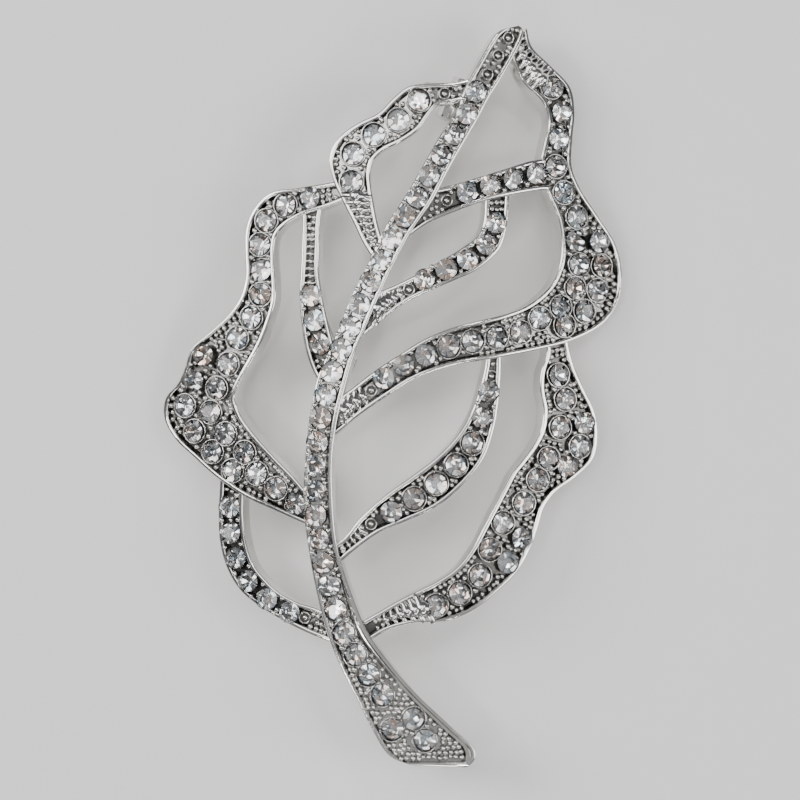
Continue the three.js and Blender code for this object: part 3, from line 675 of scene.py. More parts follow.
def make_casting(leaf, stones):
    """The strands joined layer by layer, each layer's channels cut before the next one crosses it."""
    thing = None
    for layer in sorted({strand.layer for strand in STRAND_SET}):
        members = [strand for strand in STRAND_SET if strand.layer == layer]
        for strand in members:
            plate = strand_plate(strand, leaf)
            if thing is None:
                thing = new_object("leaf_openwork", plate)
            else:
                boolean(thing, plate, "UNION")
        for strand in members:
            boolean(thing, strand_channel(strand, leaf), "DIFFERENCE")
    boolean(thing, stem_groove(leaf), "DIFFERENCE")
    radius = stones.bare * stones.diameter / 2 + SEAT_CLEARANCE
    depth = stones.pavilion * stones.diameter + SEAT_CLEARANCE
    bore = [(0, -depth), (radius, -SEAT_CLEARANCE), (radius, CLEAR_ABOVE), (0, CLEAR_ABOVE)]
    for group in apart(all_seats(stones), 2 * radius + BORE_APART):
        cutters = []
        for spot, strand in group:
            place = upright_at(spot, strand.layer * leaf.step + GIRDLE_LEVEL, leaf)
            cutters.append(lathe("bore", bore, BORE_SIDES, place))
        boolean(thing, joined_mesh("bores", cutters), "DIFFERENCE")
    mark_recess_shade(thing.data, leaf)
    shade(thing.data, CAST_SHARP)
    return thing


def ribs_tree():
    """A search tree of places along all strands, each with its strand, half width and middle."""
    places = []
    for strand in STRAND_SET:
        count = max(2, int(strand.length / TREE_STEP))
        for i in range(count + 1):
            left, right, middle = strand.rib_at(strand.length * i / count)
            places.append((strand, (right - left).length / 2, middle))
    tree = KDTree(len(places))
    for i, (_, _, middle) in enumerate(places):
        tree.insert((middle.x, middle.y, 0), i)
    tree.balance()
    return tree, places


def mark_recess_shade(mesh, leaf):
    """Stores how deep inside a strand each corner lies, from 0 on the rails to 1 on the floor: the share of
    painted shade that darkens the plate there.
    """
    tree, places = ribs_tree()
    attribute = mesh.attributes.new("recess", "FLOAT", "POINT")
    crown = lowest_edge_of(leaf)
    for vertex in mesh.vertices:
        x, y, z = vertex.co / MM - SHIFT
        near = 1.0
        for _, i, distance in tree.find_n((x, y, 0), NEIGHBOURS):
            near = min(near, distance / places[i][1])
        under = (crown - dome_fall(x, y)) - z
        depth = clamped((under - RECESS_START) / leaf.floor)
        channelled = near < RAIL_SHARE and under < 2 * leaf.floor
        attribute.data[vertex.index].value = depth if channelled else 0.0


# ---- Repeats: one tree that sets a piece on each point -------------------------------------------
def node_tools(tree):
    """A function that makes a node with its inputs and properties set, and one that links sockets."""
    def node(kind, inputs=None, **values):
        made = tree.nodes.new(kind)
        for key, value in values.items():
            setattr(made, key, value)
        for key, value in (inputs or {}).items():
            made.inputs[key].default_value = value
        return made
    return node, tree.links.new


def scatter_tree():
    tree = bpy.data.node_groups.new("set_on_points", "GeometryNodeTree")
    face = tree.interface
    face.new_socket("Points", in_out="INPUT", socket_type="NodeSocketGeometry")
    for label, kind in (
        ("Piece", "NodeSocketObject"), ("Size", "NodeSocketFloat"), ("Wobble", "NodeSocketFloat"),
        ("Spin", "NodeSocketFloat"), ("Seed", "NodeSocketInt"), ("Finish", "NodeSocketMaterial"),
        ("Backing", "NodeSocketMaterial"),
    ):
        face.new_socket(label, in_out="INPUT", socket_type=kind)
    face.new_socket("Pieces", in_out="OUTPUT", socket_type="NodeSocketGeometry")

    node, link = node_tools(tree)

    def stored(label, kind):
        return node("GeometryNodeInputNamedAttribute", {"Name": label}, data_type=kind)

    start, end = node("NodeGroupInput"), node("NodeGroupOutput")
    piece = node("GeometryNodeObjectInfo", transform_space="ORIGINAL")
    link(start.outputs["Piece"], piece.inputs["Object"])

    heading, upward = stored("heading", "FLOAT_VECTOR"), stored("upward", "FLOAT_VECTOR")
    stand = node("FunctionNodeAlignRotationToVector", axis="Z")
    link(upward.outputs["Attribute"], stand.inputs["Vector"])
    face_along = node("FunctionNodeAlignRotationToVector", axis="X", pivot_axis="Z")
    link(stand.outputs["Rotation"], face_along.inputs["Rotation"])
    link(heading.outputs["Attribute"], face_along.inputs["Vector"])

    low, high = node("ShaderNodeCombineXYZ"), node("ShaderNodeCombineXYZ")
    for label, source in (("X", "Wobble"), ("Y", "Wobble"), ("Z", "Spin")):
        minus = node("ShaderNodeMath", {1: -1.0}, operation="MULTIPLY")
        link(start.outputs[source], minus.inputs[0])
        link(minus.outputs[0], low.inputs[label])
        link(start.outputs[source], high.inputs[label])
    random = node("FunctionNodeRandomValue", data_type="FLOAT_VECTOR")
    link(low.outputs[0], random.inputs["Min"])
    link(high.outputs[0], random.inputs["Max"])
    link(start.outputs["Seed"], random.inputs["Seed"])
    lean = node("FunctionNodeEulerToRotation")
    link(random.outputs["Value"], lean.inputs[0])
    turn = node("FunctionNodeRotateRotation", rotation_space="LOCAL")
    link(face_along.outputs["Rotation"], turn.inputs["Rotation"])
    link(lean.outputs[0], turn.inputs["Rotate By"])

    scale = stored("scale", "FLOAT")
    sized = node("ShaderNodeMath", operation="MULTIPLY")
    link(scale.outputs["Attribute"], sized.inputs[0])
    link(start.outputs["Size"], sized.inputs[1])

    place = node("GeometryNodeInstanceOnPoints")
    link(start.outputs["Points"], place.inputs["Points"])
    link(piece.outputs["Geometry"], place.inputs["Instance"])
    link(turn.outputs["Rotation"], place.inputs["Rotation"])
    link(sized.outputs[0], place.inputs["Scale"])
    real = node("GeometryNodeRealizeInstances")
    link(place.outputs[0], real.inputs[0])
    front = node("GeometryNodeSetMaterial")
    link(real.outputs[0], front.inputs["Geometry"])
    link(start.outputs["Finish"], front.inputs["Material"])
    foil = stored("backing", "BOOLEAN")
    back = node("GeometryNodeSetMaterial")
    link(front.outputs[0], back.inputs["Geometry"])
    link(foil.outputs["Attribute"], back.inputs["Selection"])
    link(start.outputs["Backing"], back.inputs["Material"])
    link(back.outputs[0], end.inputs[0])
    return tree


def named_tree():
    """The tree that sets pieces on points, made once."""
    return bpy.data.node_groups.get("set_on_points") or scatter_tree()


def set_on(name, spots, piece_mesh, finish, backing=None, wobble=0.0, spin=0.0, seed=0):
    """spots: (point in metres, upward, heading, scale) of each copy of the piece, drawn in millimetres."""
    points = bpy.data.meshes.new(name)
    points.from_pydata([spot[0] for spot in spots], [], [])
    for label, column in (("upward", 1), ("heading", 2)):
        attribute = points.attributes.new(label, "FLOAT_VECTOR", "POINT")
        for i, spot in enumerate(spots):
            attribute.data[i].vector = spot[column]
    scales = points.attributes.new("scale", "FLOAT", "POINT")
    for i, spot in enumerate(spots):
        scales.data[i].value = spot[3]
    thing = new_object(name, points)
    pattern = new_object(name + "_pattern", piece_mesh)
    setter = thing.modifiers.new("set", "NODES")
    setter.node_group = named_tree()
    values = {
        "Piece": pattern, "Size": MM, "Wobble": wobble, "Spin": spin, "Seed": seed, "Finish": finish,
        "Backing": backing or finish,
    }
    for item in setter.node_group.interface.items_tree:
        if item.in_out == "INPUT" and item.name in values:
            setter[item.identifier] = values[item.name]
    flatten(thing)
    bpy.data.objects.remove(pattern)
    for label in ("upward", "heading", "scale", "backing"):
        attribute = thing.data.attributes.get(label)
        if attribute:
            thing.data.attributes.remove(attribute)
    return thing


# ---- Stones --------------------------------------------------------------------------------------
FACETS = 8  # round a stone's table
GIRDLE_HALF = 0.04  # half a girdle's greatest thickness, as a share of the diameter


def cut_stone(stones):
    """A single-cut brilliant in millimetres, its girdle at z = 0, with its pavilion marked as backing."""
    radius = stones.diameter / 2
    crown = stones.crown * stones.diameter
    deep = stones.pavilion * stones.diameter
    edge = GIRDLE_HALF * stones.diameter
    sides = FACETS
    half_turn = math.cos(math.pi / sides)
    table = stones.table * radius

    def point(r, step, height):
        turn = math.pi * step / sides
        return Vector((r * math.cos(turn), r * math.sin(turn), height))

    # Flat facets meet the round girdle in scallops, so every second girdle point is out of line.
    upper_dip = (crown - edge) * (radius - radius * half_turn) / ((radius - table) * half_turn)
    lower_rise = (deep - edge) * (1 / half_turn - 1)
    verts = [point(table, 2 * k, crown) for k in range(sides)]
    for k in range(2 * sides):
        verts.append(point(radius, k, edge - (upper_dip if k % 2 else 0)))
    for k in range(2 * sides):
        verts.append(point(radius, k, -edge + (lower_rise if k % 2 else 0)))
    verts.append(Vector((0, 0, -deep)))
    culet = len(verts) - 1
    faces = [tuple(range(sides))]
    upper, lower = sides, 3 * sides
    for k in range(sides):
        after = (k + 1) % sides
        near, far = 2 * k, (2 * k + 2) % (2 * sides)
        faces.append((k, after, upper + far, upper + near + 1, upper + near))
    for k in range(2 * sides):
        after = (k + 1) % (2 * sides)
        faces.append((upper + k, upper + after, lower + after, lower + k))
    first_back = len(faces)
    for k in range(sides):
        near, far = 2 * k, (2 * k + 2) % (2 * sides)
        faces.append((lower + near, lower + near + 1, lower + far, culet))
    mesh = mesh_from("cut_stone", verts, faces)
    marks = mesh.attributes.new("backing", "BOOLEAN", "FACE")
    for i in range(len(faces)):
        marks.data[i].value = i >= first_back
    return mesh


# ---- Grains, cups and rungs ----------------------------------------------------------------------
GRAIN_DARK, GRAIN_DARKENS = 0.3, 2.4  # a grain's painted shade at its middle, and what it gains per diameter down
ROUND_STEPS = 4  # of a rim's half round
COLLAR_WALL, COLLAR_FOOT, COLLAR_TOP = 0.13, -0.62, -0.16
COLLAR_SIDES = 28
COLLAR_DARK = 0.2  # depth at which painted shade begins to darken a collar, and over which it darkens, mm
CUP_WALL, CUP_BUTTON = 0.2, 0.46  # as shares of a cup's radius
CUP_FOOT, CUP_RIM, CUP_DEPTH = -0.6, 0.04, -0.34
BUTTON_EDGE, BUTTON_RISE = -0.1, 0.16
CUP_DARK = -0.2  # height under which a cup is painted dark as shade
CUP_SIDES = 20
TURNED_SHARP = 50  # sharp edge of a collar or a cup, degrees


def clamped(value):
    return min(max(value, 0.0), 1.0)


def grain_mesh(diameter):
    """A round grain, with painted shade darkening it towards its foot."""
    shape = bmesh.new()
    bmesh.ops.create_icosphere(shape, subdivisions=2, radius=diameter / 2)
    mesh = bpy.data.meshes.new("grain")
    shape.to_mesh(mesh)
    shape.free()
    mesh.shade_smooth()
    mark(mesh, lambda at: clamped(GRAIN_DARK - GRAIN_DARKENS * at.z / diameter))
    return mesh


def mark(mesh, depth_of):
    """Stores a piece's own painted shade, worked out from each corner's place."""
    attribute = mesh.attributes.new("recess", "FLOAT", "POINT")
    for vertex in mesh.vertices:
        attribute.data[vertex.index].value = depth_of(vertex.co)


def half_round(start, end, level):
    """Profile points of the rounded rim between two radii."""
    reach = (end - start) / 2
    turns = [math.pi * k / ROUND_STEPS for k in range(1, ROUND_STEPS)]
    return [(start + reach * (1 - math.cos(turn)), level + abs(reach) * math.sin(turn)) for turn in turns]


def ring_mesh(name, section, sides, about_y=False):
    """A closed section of (radius, height) points carried once round the z or the y axis."""
    verts, faces = [], []
    count = len(section)
    for i in range(sides):
        turn = 2 * math.pi * i / sides
        for r, height in section:
            x, y = r * math.cos(turn), r * math.sin(turn)
            verts.append(Vector((x, height, y) if about_y else (x, y, height)))
        for j in range(count):
            a, b = i * count + j, i * count + (j + 1) % count
            c, d = (a + count) % (sides * count), (b + count) % (sides * count)
            faces.append((a, b, d, c))
    return mesh_from(name, verts, faces)


def collar_mesh(radius):
    """The thin ring of metal that a stone in a wide strand stands in."""
    outer = radius + COLLAR_WALL
    section = [(radius, COLLAR_FOOT), (radius, COLLAR_TOP), *half_round(radius, outer, COLLAR_TOP),
               (outer, COLLAR_TOP), (outer, COLLAR_FOOT)]
    mesh = ring_mesh("collar", section, COLLAR_SIDES)
    shade(mesh, TURNED_SHARP)
    # Painted shade: the collar darkens towards its foot.
    mark(mesh, lambda at: clamped((-COLLAR_DARK - at.z) / COLLAR_DARK))
    return mesh


def cup_mesh(diameter):
    """An empty setting: a thin rim round a deep ring, with a bright button in the middle; low in the ring it
    is painted dark as shade.
    """
    outer = diameter / 2
    inner, button = outer - CUP_WALL * outer, CUP_BUTTON * outer
    profile = [(0, CUP_FOOT), (outer, CUP_FOOT), (outer, CUP_RIM), *half_round(outer, inner, CUP_RIM),
               (inner, CUP_RIM), (inner, CUP_DEPTH), (button, CUP_DEPTH), (button, BUTTON_EDGE)]
    for k in range(1, ROUND_STEPS):
        turn = math.pi / 2 * k / ROUND_STEPS
        profile.append((button * math.cos(turn), BUTTON_EDGE + BUTTON_RISE * math.sin(turn)))
    profile.append((0, BUTTON_EDGE + BUTTON_RISE))
    mesh = lathe("cup", profile, CUP_SIDES)
    shade(mesh, TURNED_SHARP)
    mark(mesh, lambda at: 1.0 if at.z < CUP_DARK else 0.0)
    return mesh


def jitter(index, seed):
    """A repeatable pair of numbers between -1 and 1."""
    value = math.sin(index * 12.9898 + seed * 78.233) * 43758.5453
    other = math.sin(index * 39.3467 + seed * 11.135) * 24634.6345
    return 2 * (value - math.floor(value)) - 1, 2 * (other - math.floor(other)) - 1


COVER_PLACES = 12  # of a search tree that are looked at for a strand that crosses over
COLLAR_ROOM = 1.28  # of a stone's radius, to both rails
ROW_BREAK = 1.35  # diameters between two stones that are no neighbours
PRONG_SIDE = 0.36  # of a stone's diameter, to each side of its row
PRONG_CLEAR = 0.05  # between a prong's middle and any stone, mm
PRONG_SIZE, PRONG_SPREAD, PRONG_SINK = 1.02, 0.1, 0.04
SIDE_ROOM, STONE_ROOM, COLLAR_GRAIN, PRONG_ROOM = 0.42, 0.22, 0.3, 0.7  # a grain keeps, in grains
COLLAR_REACH = 0.15  # of a collar past its stone, mm
SHAKE_ALONG, SHAKE_ACROSS, SHAKE_UP, SHAKE_SIZE = 0.1, 0.08, 0.04, 0.12
NEAR_STONE = 0.6  # grains nearer a stone than this many of themselves stand higher
SINK_NEAR, SINK_FAR = 0.16, 0.32
CUP_SINK, RUNG_SINK = 0.2, 0.26
RUNG_LENGTH, RUNG_RADIUS = 0.8, 0.13  # mm, at scale one
RUNG_LEAST = 0.2  # width of strand that a rung is cut to at least, mm
RUNG_SIDES = 10
RUNG_PAST = 0.1  # length of a rung inside the rails, mm
BEAD_HALF, BEAD_FOOT, BEAD_RISE, BEAD_STEPS = 0.2, 0.24, 0.13, 6
RUNG_SHARP = 60


def covered(spot, strand, tree, places, margin=0.1):
    """Whether a later strand crosses over the spot."""
    for _, i, distance in tree.find_n((spot.x, spot.y, 0), COVER_PLACES):
        other, half, _ = places[i]
        if other.layer > strand.layer and distance < half + margin:
            return True
    return False


def stand_on(spot, rise, leaf, heading, scale):
    """A copy's place for set_on, upright on the dome."""
    upward = dome_normal(*spot)
    return on_dome(spot, rise, leaf), upward, Vector((heading.x, heading.y, 0)), scale


def wide_seats(stones):
    """Seats in the wide strands, where a collar stands clear of both rails."""
    reach = COLLAR_ROOM * stones.diameter / 2
    seats = []
    for strand in STRAND_SET:
        edges = [strand.rib_at(strand.length * i / STRAND_STEPS)[:2] for i in range(STRAND_STEPS + 1)]
        for spot in strand.seats(stones.diameter, stones.gap):
            nearest = min(min((spot - left).length, (spot - right).length) for left, right in edges)
            if nearest > reach:
                seats.append((spot, strand))
    return seats


def collar_spots(leaf, stones):
    """A place for each collar, round the stones of the wide strands."""
    lift = {strand.name: strand.layer * leaf.step for strand in STRAND_SET}
    return [stand_on(spot, lift[strand.name], leaf, Vector((1, 0)), 1.0)
            for spot, strand in wide_seats(stones)]


def prong_places(stones):
    """Two prongs in each gap between neighbours of a row: (spot, strand, heading)."""
    places = []
    for strand in STRAND_SET:
        seats = strand.seats(stones.diameter, stones.gap)
        for here, after in zip(seats, seats[1:]):
            along = after - here
            if along.length > ROW_BREAK * stones.diameter:
                continue
            across = Vector((-along.y, along.x)).normalized()
            for side in (-1, 1):
                spot = (here + after) / 2 + across * side * PRONG_SIDE * stones.diameter
                places.append((spot, strand, across))
    return places


def grain_spots(leaf, stones, setting):
    """Prongs hold the stones, and grains fill a strand's floor where it is free."""
    tree, places = ribs_tree()
    seats = [spot for spot, _ in all_seats(stones)]
    clear = 0.5 * stones.diameter + PRONG_CLEAR
    prongs = [item for item in prong_places(stones)
              if not covered(item[0], item[1], tree, places, 0.0)
              and all((item[0] - seat).length > clear for seat in seats)]
    spots = []
    for i, (spot, strand, heading) in enumerate(prongs):
        size = PRONG_SIZE + PRONG_SPREAD * jitter(i, setting.seed + 1)[0]
        spots.append(stand_on(spot, strand.layer * leaf.step - PRONG_SINK, leaf, heading, size))
    seat_tree = point_tree(seats)
    wide_tree = point_tree([spot for spot, _ in wide_seats(stones)])
    prong_tree = point_tree([spot for spot, _, _ in prongs])
    grain = setting.grain
    radius = stones.bare * stones.diameter / 2
    collared = radius + COLLAR_REACH + COLLAR_GRAIN * grain
    index = 0
    for strand in STRAND_SET:
        lift = strand.layer * leaf.step
        for row in range(1, int(strand.length / strand.stretch / setting.pitch)):
            along = row * setting.pitch
            left, right, _ = strand.rib_at(along * strand.stretch)
            room = (right - left).length / 2 - leaf.rail - SIDE_ROOM * grain
            if room < 0 or any(start <= along <= end for start, end in strand.ladders):
                continue
            count = max(1, round(2 * room / setting.pitch) + 1)
            for k in range(count):
                index += 1
                side = room * (2 * k / (count - 1) - 1) if count > 1 else 0.0
                if side > room - wider_rail(strand, along * strand.stretch):
                    continue
                shake = jitter(index, setting.seed)
                aside = side * (1 - SHAKE_ACROSS * abs(shake[1]))
                spot = strand.spot(along + SHAKE_ALONG * shake[0], aside)
                gap = away(spot, seat_tree) - radius
                if gap < STONE_ROOM * grain or away(spot, wide_tree) < collared:
                    continue
                if away(spot, prong_tree) < PRONG_ROOM * grain or covered(spot, strand, tree, places):
                    continue
                if any((spot - strand.spot(*cup)).length < 0.5 * (setting.cup + grain)
                       for cup in strand.cups):
                    continue
                sink = SINK_NEAR if gap < NEAR_STONE * grain else SINK_FAR
                rise = lift - sink + SHAKE_UP * shake[1]
                spots.append(stand_on(spot, rise, leaf, right - left, 1 + SHAKE_SIZE * shake[0]))
    return spots


def point_tree(spots):
    """A search tree of plan points."""
    tree = KDTree(len(spots))
    for i, spot in enumerate(spots):
        tree.insert((spot.x, spot.y, 0), i)
    tree.balance()
    return tree


def away(spot, tree):
    """Distance from a spot to the nearest point of a search tree."""
    return tree.find((spot.x, spot.y, 0))[2]


def cup_spots(leaf):
    """A place for each empty cup."""
    spots = []
    for strand in STRAND_SET:
        for along, side in strand.cups:
            left, right, _ = strand.rib_at(along * strand.stretch)
            spot = strand.spot(along, side)
            rise = strand.layer * leaf.step - CUP_SINK
            spots.append(stand_on(spot, rise, leaf, right - left, 1.0))
    return spots


def rung_spots(leaf, setting):
    """A ladder's rungs, each scaled to the width of the strand at its place."""
    spots = []
    tree, places = ribs_tree()
    for strand in STRAND_SET:
        for start, end in strand.ladders:
            count = max(2, round((end - start) / setting.rung))
            for k in range(count + 1):
                along = start + (end - start) * k / count
                left, right, middle = strand.rib_at(along * strand.stretch)
                if covered(middle, strand, tree, places, 0.0):
                    continue
                width = (right - left).length - 2 * leaf.rail
                scale = max(width, RUNG_LEAST) / RUNG_LENGTH
                rise = strand.layer * leaf.step - RUNG_SINK
                spots.append(stand_on(middle, rise, leaf, right - left, scale))
    return spots


def rung_mesh():
    """A short bar across a strand with a round bead in its middle."""
    half, thick = RUNG_LENGTH / 2 + RUNG_PAST, RUNG_RADIUS
    profile = [(0, -half), (thick, -half), (thick, -BEAD_FOOT)]
    for k in range(1, BEAD_STEPS):
        turn = math.pi * k / BEAD_STEPS
        profile.append((thick + BEAD_RISE * math.sin(turn), -BEAD_HALF * math.cos(turn)))
    profile += [(thick, BEAD_FOOT), (thick, half), (0, half)]
    mesh = lathe("rung", profile, RUNG_SIDES, Matrix.Rotation(math.pi / 2, 4, "Y"))
    shade(mesh, RUNG_SHARP)
    return mesh


# ---- Pin work, drawn in its own frame: x along the pin, y to its left, z up, from the hinge axis -
RUN = 0.06  # clearance between pieces that turn on each other, mm
RIVET_RADIUS = 0.4
EYE_RADIUS, EYE_WIDTH = 1.0, 0.9
EAR_THICKNESS = 0.7
RIVET_HEAD = 0.65
RIVET_HEAD_HEIGHT = 0.25
RING_RADIUS, RING_BORE = 1.8, 1.3
SLEEVE_RADIUS = RING_BORE - RUN
SLEEVE_BORE = SLEEVE_RADIUS - 0.45
SLEEVE_SLOT = 1.1
RING_MOUTH = 1.28
TAB_WIDTH, TAB_REACH, TAB_THICKNESS = 1.0, 3.95, 0.5
PAD_THICKNESS, PAD_MARGIN = 0.45, 0.4
SOLDER_GAP = 0.05
PAD_SIDES = 24
PAD_SQUARE = 0.35  # power that squares a pad's round outline
PAD_EDGE = ((0, 0.12), (0.03, 0.04), (0.12, 0))  # (inset, height) of a pad's lower edge, mm
BACK_TRIES = 6  # steps in which a place under the dome is found
SLAB_EDGE = ((1, 0), (0.3, 0.6), (0, 2))  # (inset in roundings, depth in half roundings) of a slab's edge
CORNER_STEPS = 3  # of a rounded corner
RING_SIDES = 40
BAND_STEPS = 44
LIP_TURN, LIP_SHRINK = 0.7, (0.9, 0.35)  # of a band's lip, in roundings
WELD_SHARP = 40
EAR_STEPS, EAR_DROP, EAR_WAIST, EAR_ROUNDING = 24, 1.15, 0.2, 0.1
BORE_PAST = 1  # length of the hinge's bore past its ears, mm
HINGE_SIDES, RIVET_SIDES = 32, 36
HEAD_STEPS, HEAD_EDGE = 6, 0.05
EYE_ROUNDING = 0.14
WIRE_SIDES = 24
POINT_LENGTH = 4.2  # of the pin's point, in wires
POINT_STEPS, POINT_POWER = 10, 2.2
POINT_RADIUS, POINT_END = 0.05, 0.03
COLLAR_SWELL, COLLAR_NEAR, COLLAR_FAR = 1.15, 0.15, 0.45  # of the pin's collar, beyond the eye
NECK_DROP, NECK_SET = 0.25, 0.06  # under the ring's bore, and from the ring's faces, mm
NECK_LEVELS = ((0, 0.62), (0.3, 0.58), (1, 0.72))  # (share of the height, half width in radii of the bore)
SLEEVE_ROUNDING = 0.07
TAB_ROOT = 0.2
TAB_STEPS, TAB_SIDES = 12, 16
TAB_WAIST, TAB_WAIST_ENDS = 0.28, 1.6  # how far the tab narrows, over its length divided by this
TAB_TIP, TAB_TIP_LENGTH = 0.8, 0.2  # where its end rounds off and over what, as shares of its length
TAB_LEAST = 0.02  # square of its last width's share
PIN_SPAN = (CATCH - HINGE).length
PIN_ALONG = PIN_LEFT.cross(Vector((0, 0, 1)))
PIN_FRAME = Matrix.Translation(HINGE * MM) @ Matrix(
    (PIN_ALONG, PIN_LEFT, Vector((0, 0, 1)))).transposed().to_4x4() @ Matrix.Scale(MM, 4)


def back_level(x, y, leaf):
    """Height of the casting's back over a place of the pin's own frame, in that frame."""
    spot = HINGE + PIN_ALONG * x + PIN_LEFT * y - SHIFT
    above = Vector((spot.x, spot.y))
    for _ in range(BACK_TRIES):
        back = on_dome(above, -leaf.thickness, leaf) / MM - SHIFT
        above += Vector((spot.x - back.x, spot.y - back.y))
    return on_dome(above, -leaf.thickness, leaf).z / MM - HINGE.z


def pad_mesh(at_x, half_length, half_width, leaf):
    """The soldered foot: flat below, its top following the casting's back."""
    corners = []
    for k in range(PAD_SIDES):
        turn = 2 * math.pi * (k + 0.5) / PAD_SIDES
        edge_x = math.copysign(abs(math.cos(turn)) ** PAD_SQUARE, math.cos(turn)) * half_length
        edge_y = math.copysign(abs(math.sin(turn)) ** PAD_SQUARE, math.sin(turn)) * half_width
        corners.append((at_x + edge_x, edge_y))
    tops = [back_level(x, y, leaf) - SOLDER_GAP for x, y in corners]
    under = min(tops) - PAD_THICKNESS
    rings = [[Vector((x, y, top)) for (x, y), top in zip(corners, tops)]]
    for inset, drop in PAD_EDGE:
        keep_x, keep_y = 1 - inset / half_length, 1 - inset / half_width
        rings.append([
            Vector((at_x + (x - at_x) * keep_x, y * keep_y, under + drop)) for x, y in corners])
    return loft("pad", rings), under


def slab_mesh(name, outline, thickness, y, rounding):
    """A plate drawn in x and z, standing across y, with rounded edges."""
    middle = sum((Vector(p) for p in outline), Vector((0, 0))) / len(outline)
    rings = []
    near = [(-1 + depth * rounding / thickness, inset * rounding) for inset, depth in SLAB_EDGE]
    for share, inset in near + [(-share, inset) for share, inset in reversed(near)]:
        ring = []
        for p in outline:
            out = Vector(p) - middle
            moved = middle + out * (1 - inset / max(out.length, rounding))
            ring.append(Vector((moved.x, y + share * thickness / 2, moved.y)))
        rings.append(ring)
    return loft(name, rings)


def rounded_section(bore, radius, low, high, rounding, shrink=0.0):
    """(radius, height) points of a ring's section with rounded corners."""
    near, far = bore + rounding + shrink, radius - rounding - shrink
    under, over = low + rounding + shrink, high - rounding - shrink
    section = []
    for centre_r, centre_h, first in ((far, over, 0.0), (near, over, 0.5), (near, under, 1.0),
                                      (far, under, 1.5)):
        for k in range(CORNER_STEPS + 1):
            turn = math.pi * (first + 0.5 * k / CORNER_STEPS)
            section.append((centre_r + rounding * math.cos(turn), centre_h + rounding * math.sin(turn)))
    return section


def open_band(name, bore, radius, mouth, x_low, x_high, rounding=0.08):
    """A C about the x axis, its mouth downwards, with rounded edges and lips."""
    start = -math.pi / 2 + math.asin((mouth / 2 + rounding) / bore)
    end = 1.5 * math.pi - math.asin((mouth / 2 + rounding) / bore)
    rings = []
    lip = rounding / bore
    turns = [start - lip, start - LIP_TURN * lip]
    turns += [start + (end - start) * i / BAND_STEPS for i in range(BAND_STEPS + 1)]
    turns += [end + LIP_TURN * lip, end + lip]
    for i, turn in enumerate(turns):
        edge = min(i, len(turns) - 1 - i)
        shrink = LIP_SHRINK[edge] * rounding if edge < len(LIP_SHRINK) else 0
        section = rounded_section(bore, radius, x_low, x_high, rounding, shrink)
        rings.append([Vector((x, r * math.cos(turn), r * math.sin(turn))) for r, x in section])
    return loft(name, rings)


def welded(name, meshes):
    """Bodies that overlap, joined as one shell and put in place."""
    thing = new_object(name, meshes[0])
    for mesh in meshes[1:]:
        boolean(thing, mesh, "UNION")
    thing.data.transform(PIN_FRAME)
    shade(thing.data, WELD_SHARP)
    return thing


def ear_outline(top, radius):
    """(x, z) points of an ear: straight sides and a round foot a little flattened."""
    waist = (top - EAR_WAIST) / 2
    outline = [(radius, top), (radius, waist)]
    for k in range(EAR_STEPS + 1):
        turn = math.pi * k / EAR_STEPS
        outline.append((radius * math.cos(turn), max(-EAR_DROP * radius * math.sin(turn), -radius)))
    return outline + [(-radius, waist), (-radius, top)]


def make_hinge(leaf, pin):
    """The hinge's pad and its two ears, with the rivet's bore through them."""
    half_width = EYE_WIDTH / 2 + RUN + EAR_THICKNESS
    pad, under = pad_mesh(0, pin.ear + PAD_MARGIN, half_width + PAD_MARGIN, leaf)
    offset = EYE_WIDTH / 2 + RUN + EAR_THICKNESS / 2
    bodies = [pad]
    for side in (-1, 1):
        outline = ear_outline(under + PAD_THICKNESS / 2, pin.ear)
        bodies.append(slab_mesh("ear", outline, EAR_THICKNESS, side * offset, EAR_ROUNDING))
    thing = welded("hinge_ears", bodies)
    reach, radius = half_width + BORE_PAST, RIVET_RADIUS + RUN
    bore = lathe("bore", [(0, -reach), (radius, -reach), (radius, reach), (0, reach)], HINGE_SIDES,
                 PIN_FRAME @ Matrix.Rotation(math.pi / 2, 4, "X"))
    boolean(thing, bore, "DIFFERENCE")
    shade(thing.data, WELD_SHARP)
    return thing


def make_rivet():
    """The hinge's rivet, with a rounded head at each end."""
    inner = EYE_WIDTH / 2 + RUN + EAR_THICKNESS + SOLDER_GAP
    side = [(RIVET_RADIUS, inner), (RIVET_HEAD, inner)]
    for k in range(HEAD_STEPS + 1):
        turn = math.pi / 2 * k / HEAD_STEPS
        rise = HEAD_EDGE + (RIVET_HEAD_HEIGHT - HEAD_EDGE) * math.sin(turn)
        side.append((RIVET_HEAD * math.cos(turn), inner + rise))
    side[-1] = (0, side[-1][1])
    profile = [(r, -h) for r, h in reversed(side)] + side
    turned = PIN_FRAME @ Matrix.Rotation(math.pi / 2, 4, "X")
    mesh = lathe("hinge_rivet_pin", profile, RIVET_SIDES, turned)
    shade(mesh, WELD_SHARP)
    return new_object("hinge_rivet_pin", mesh)


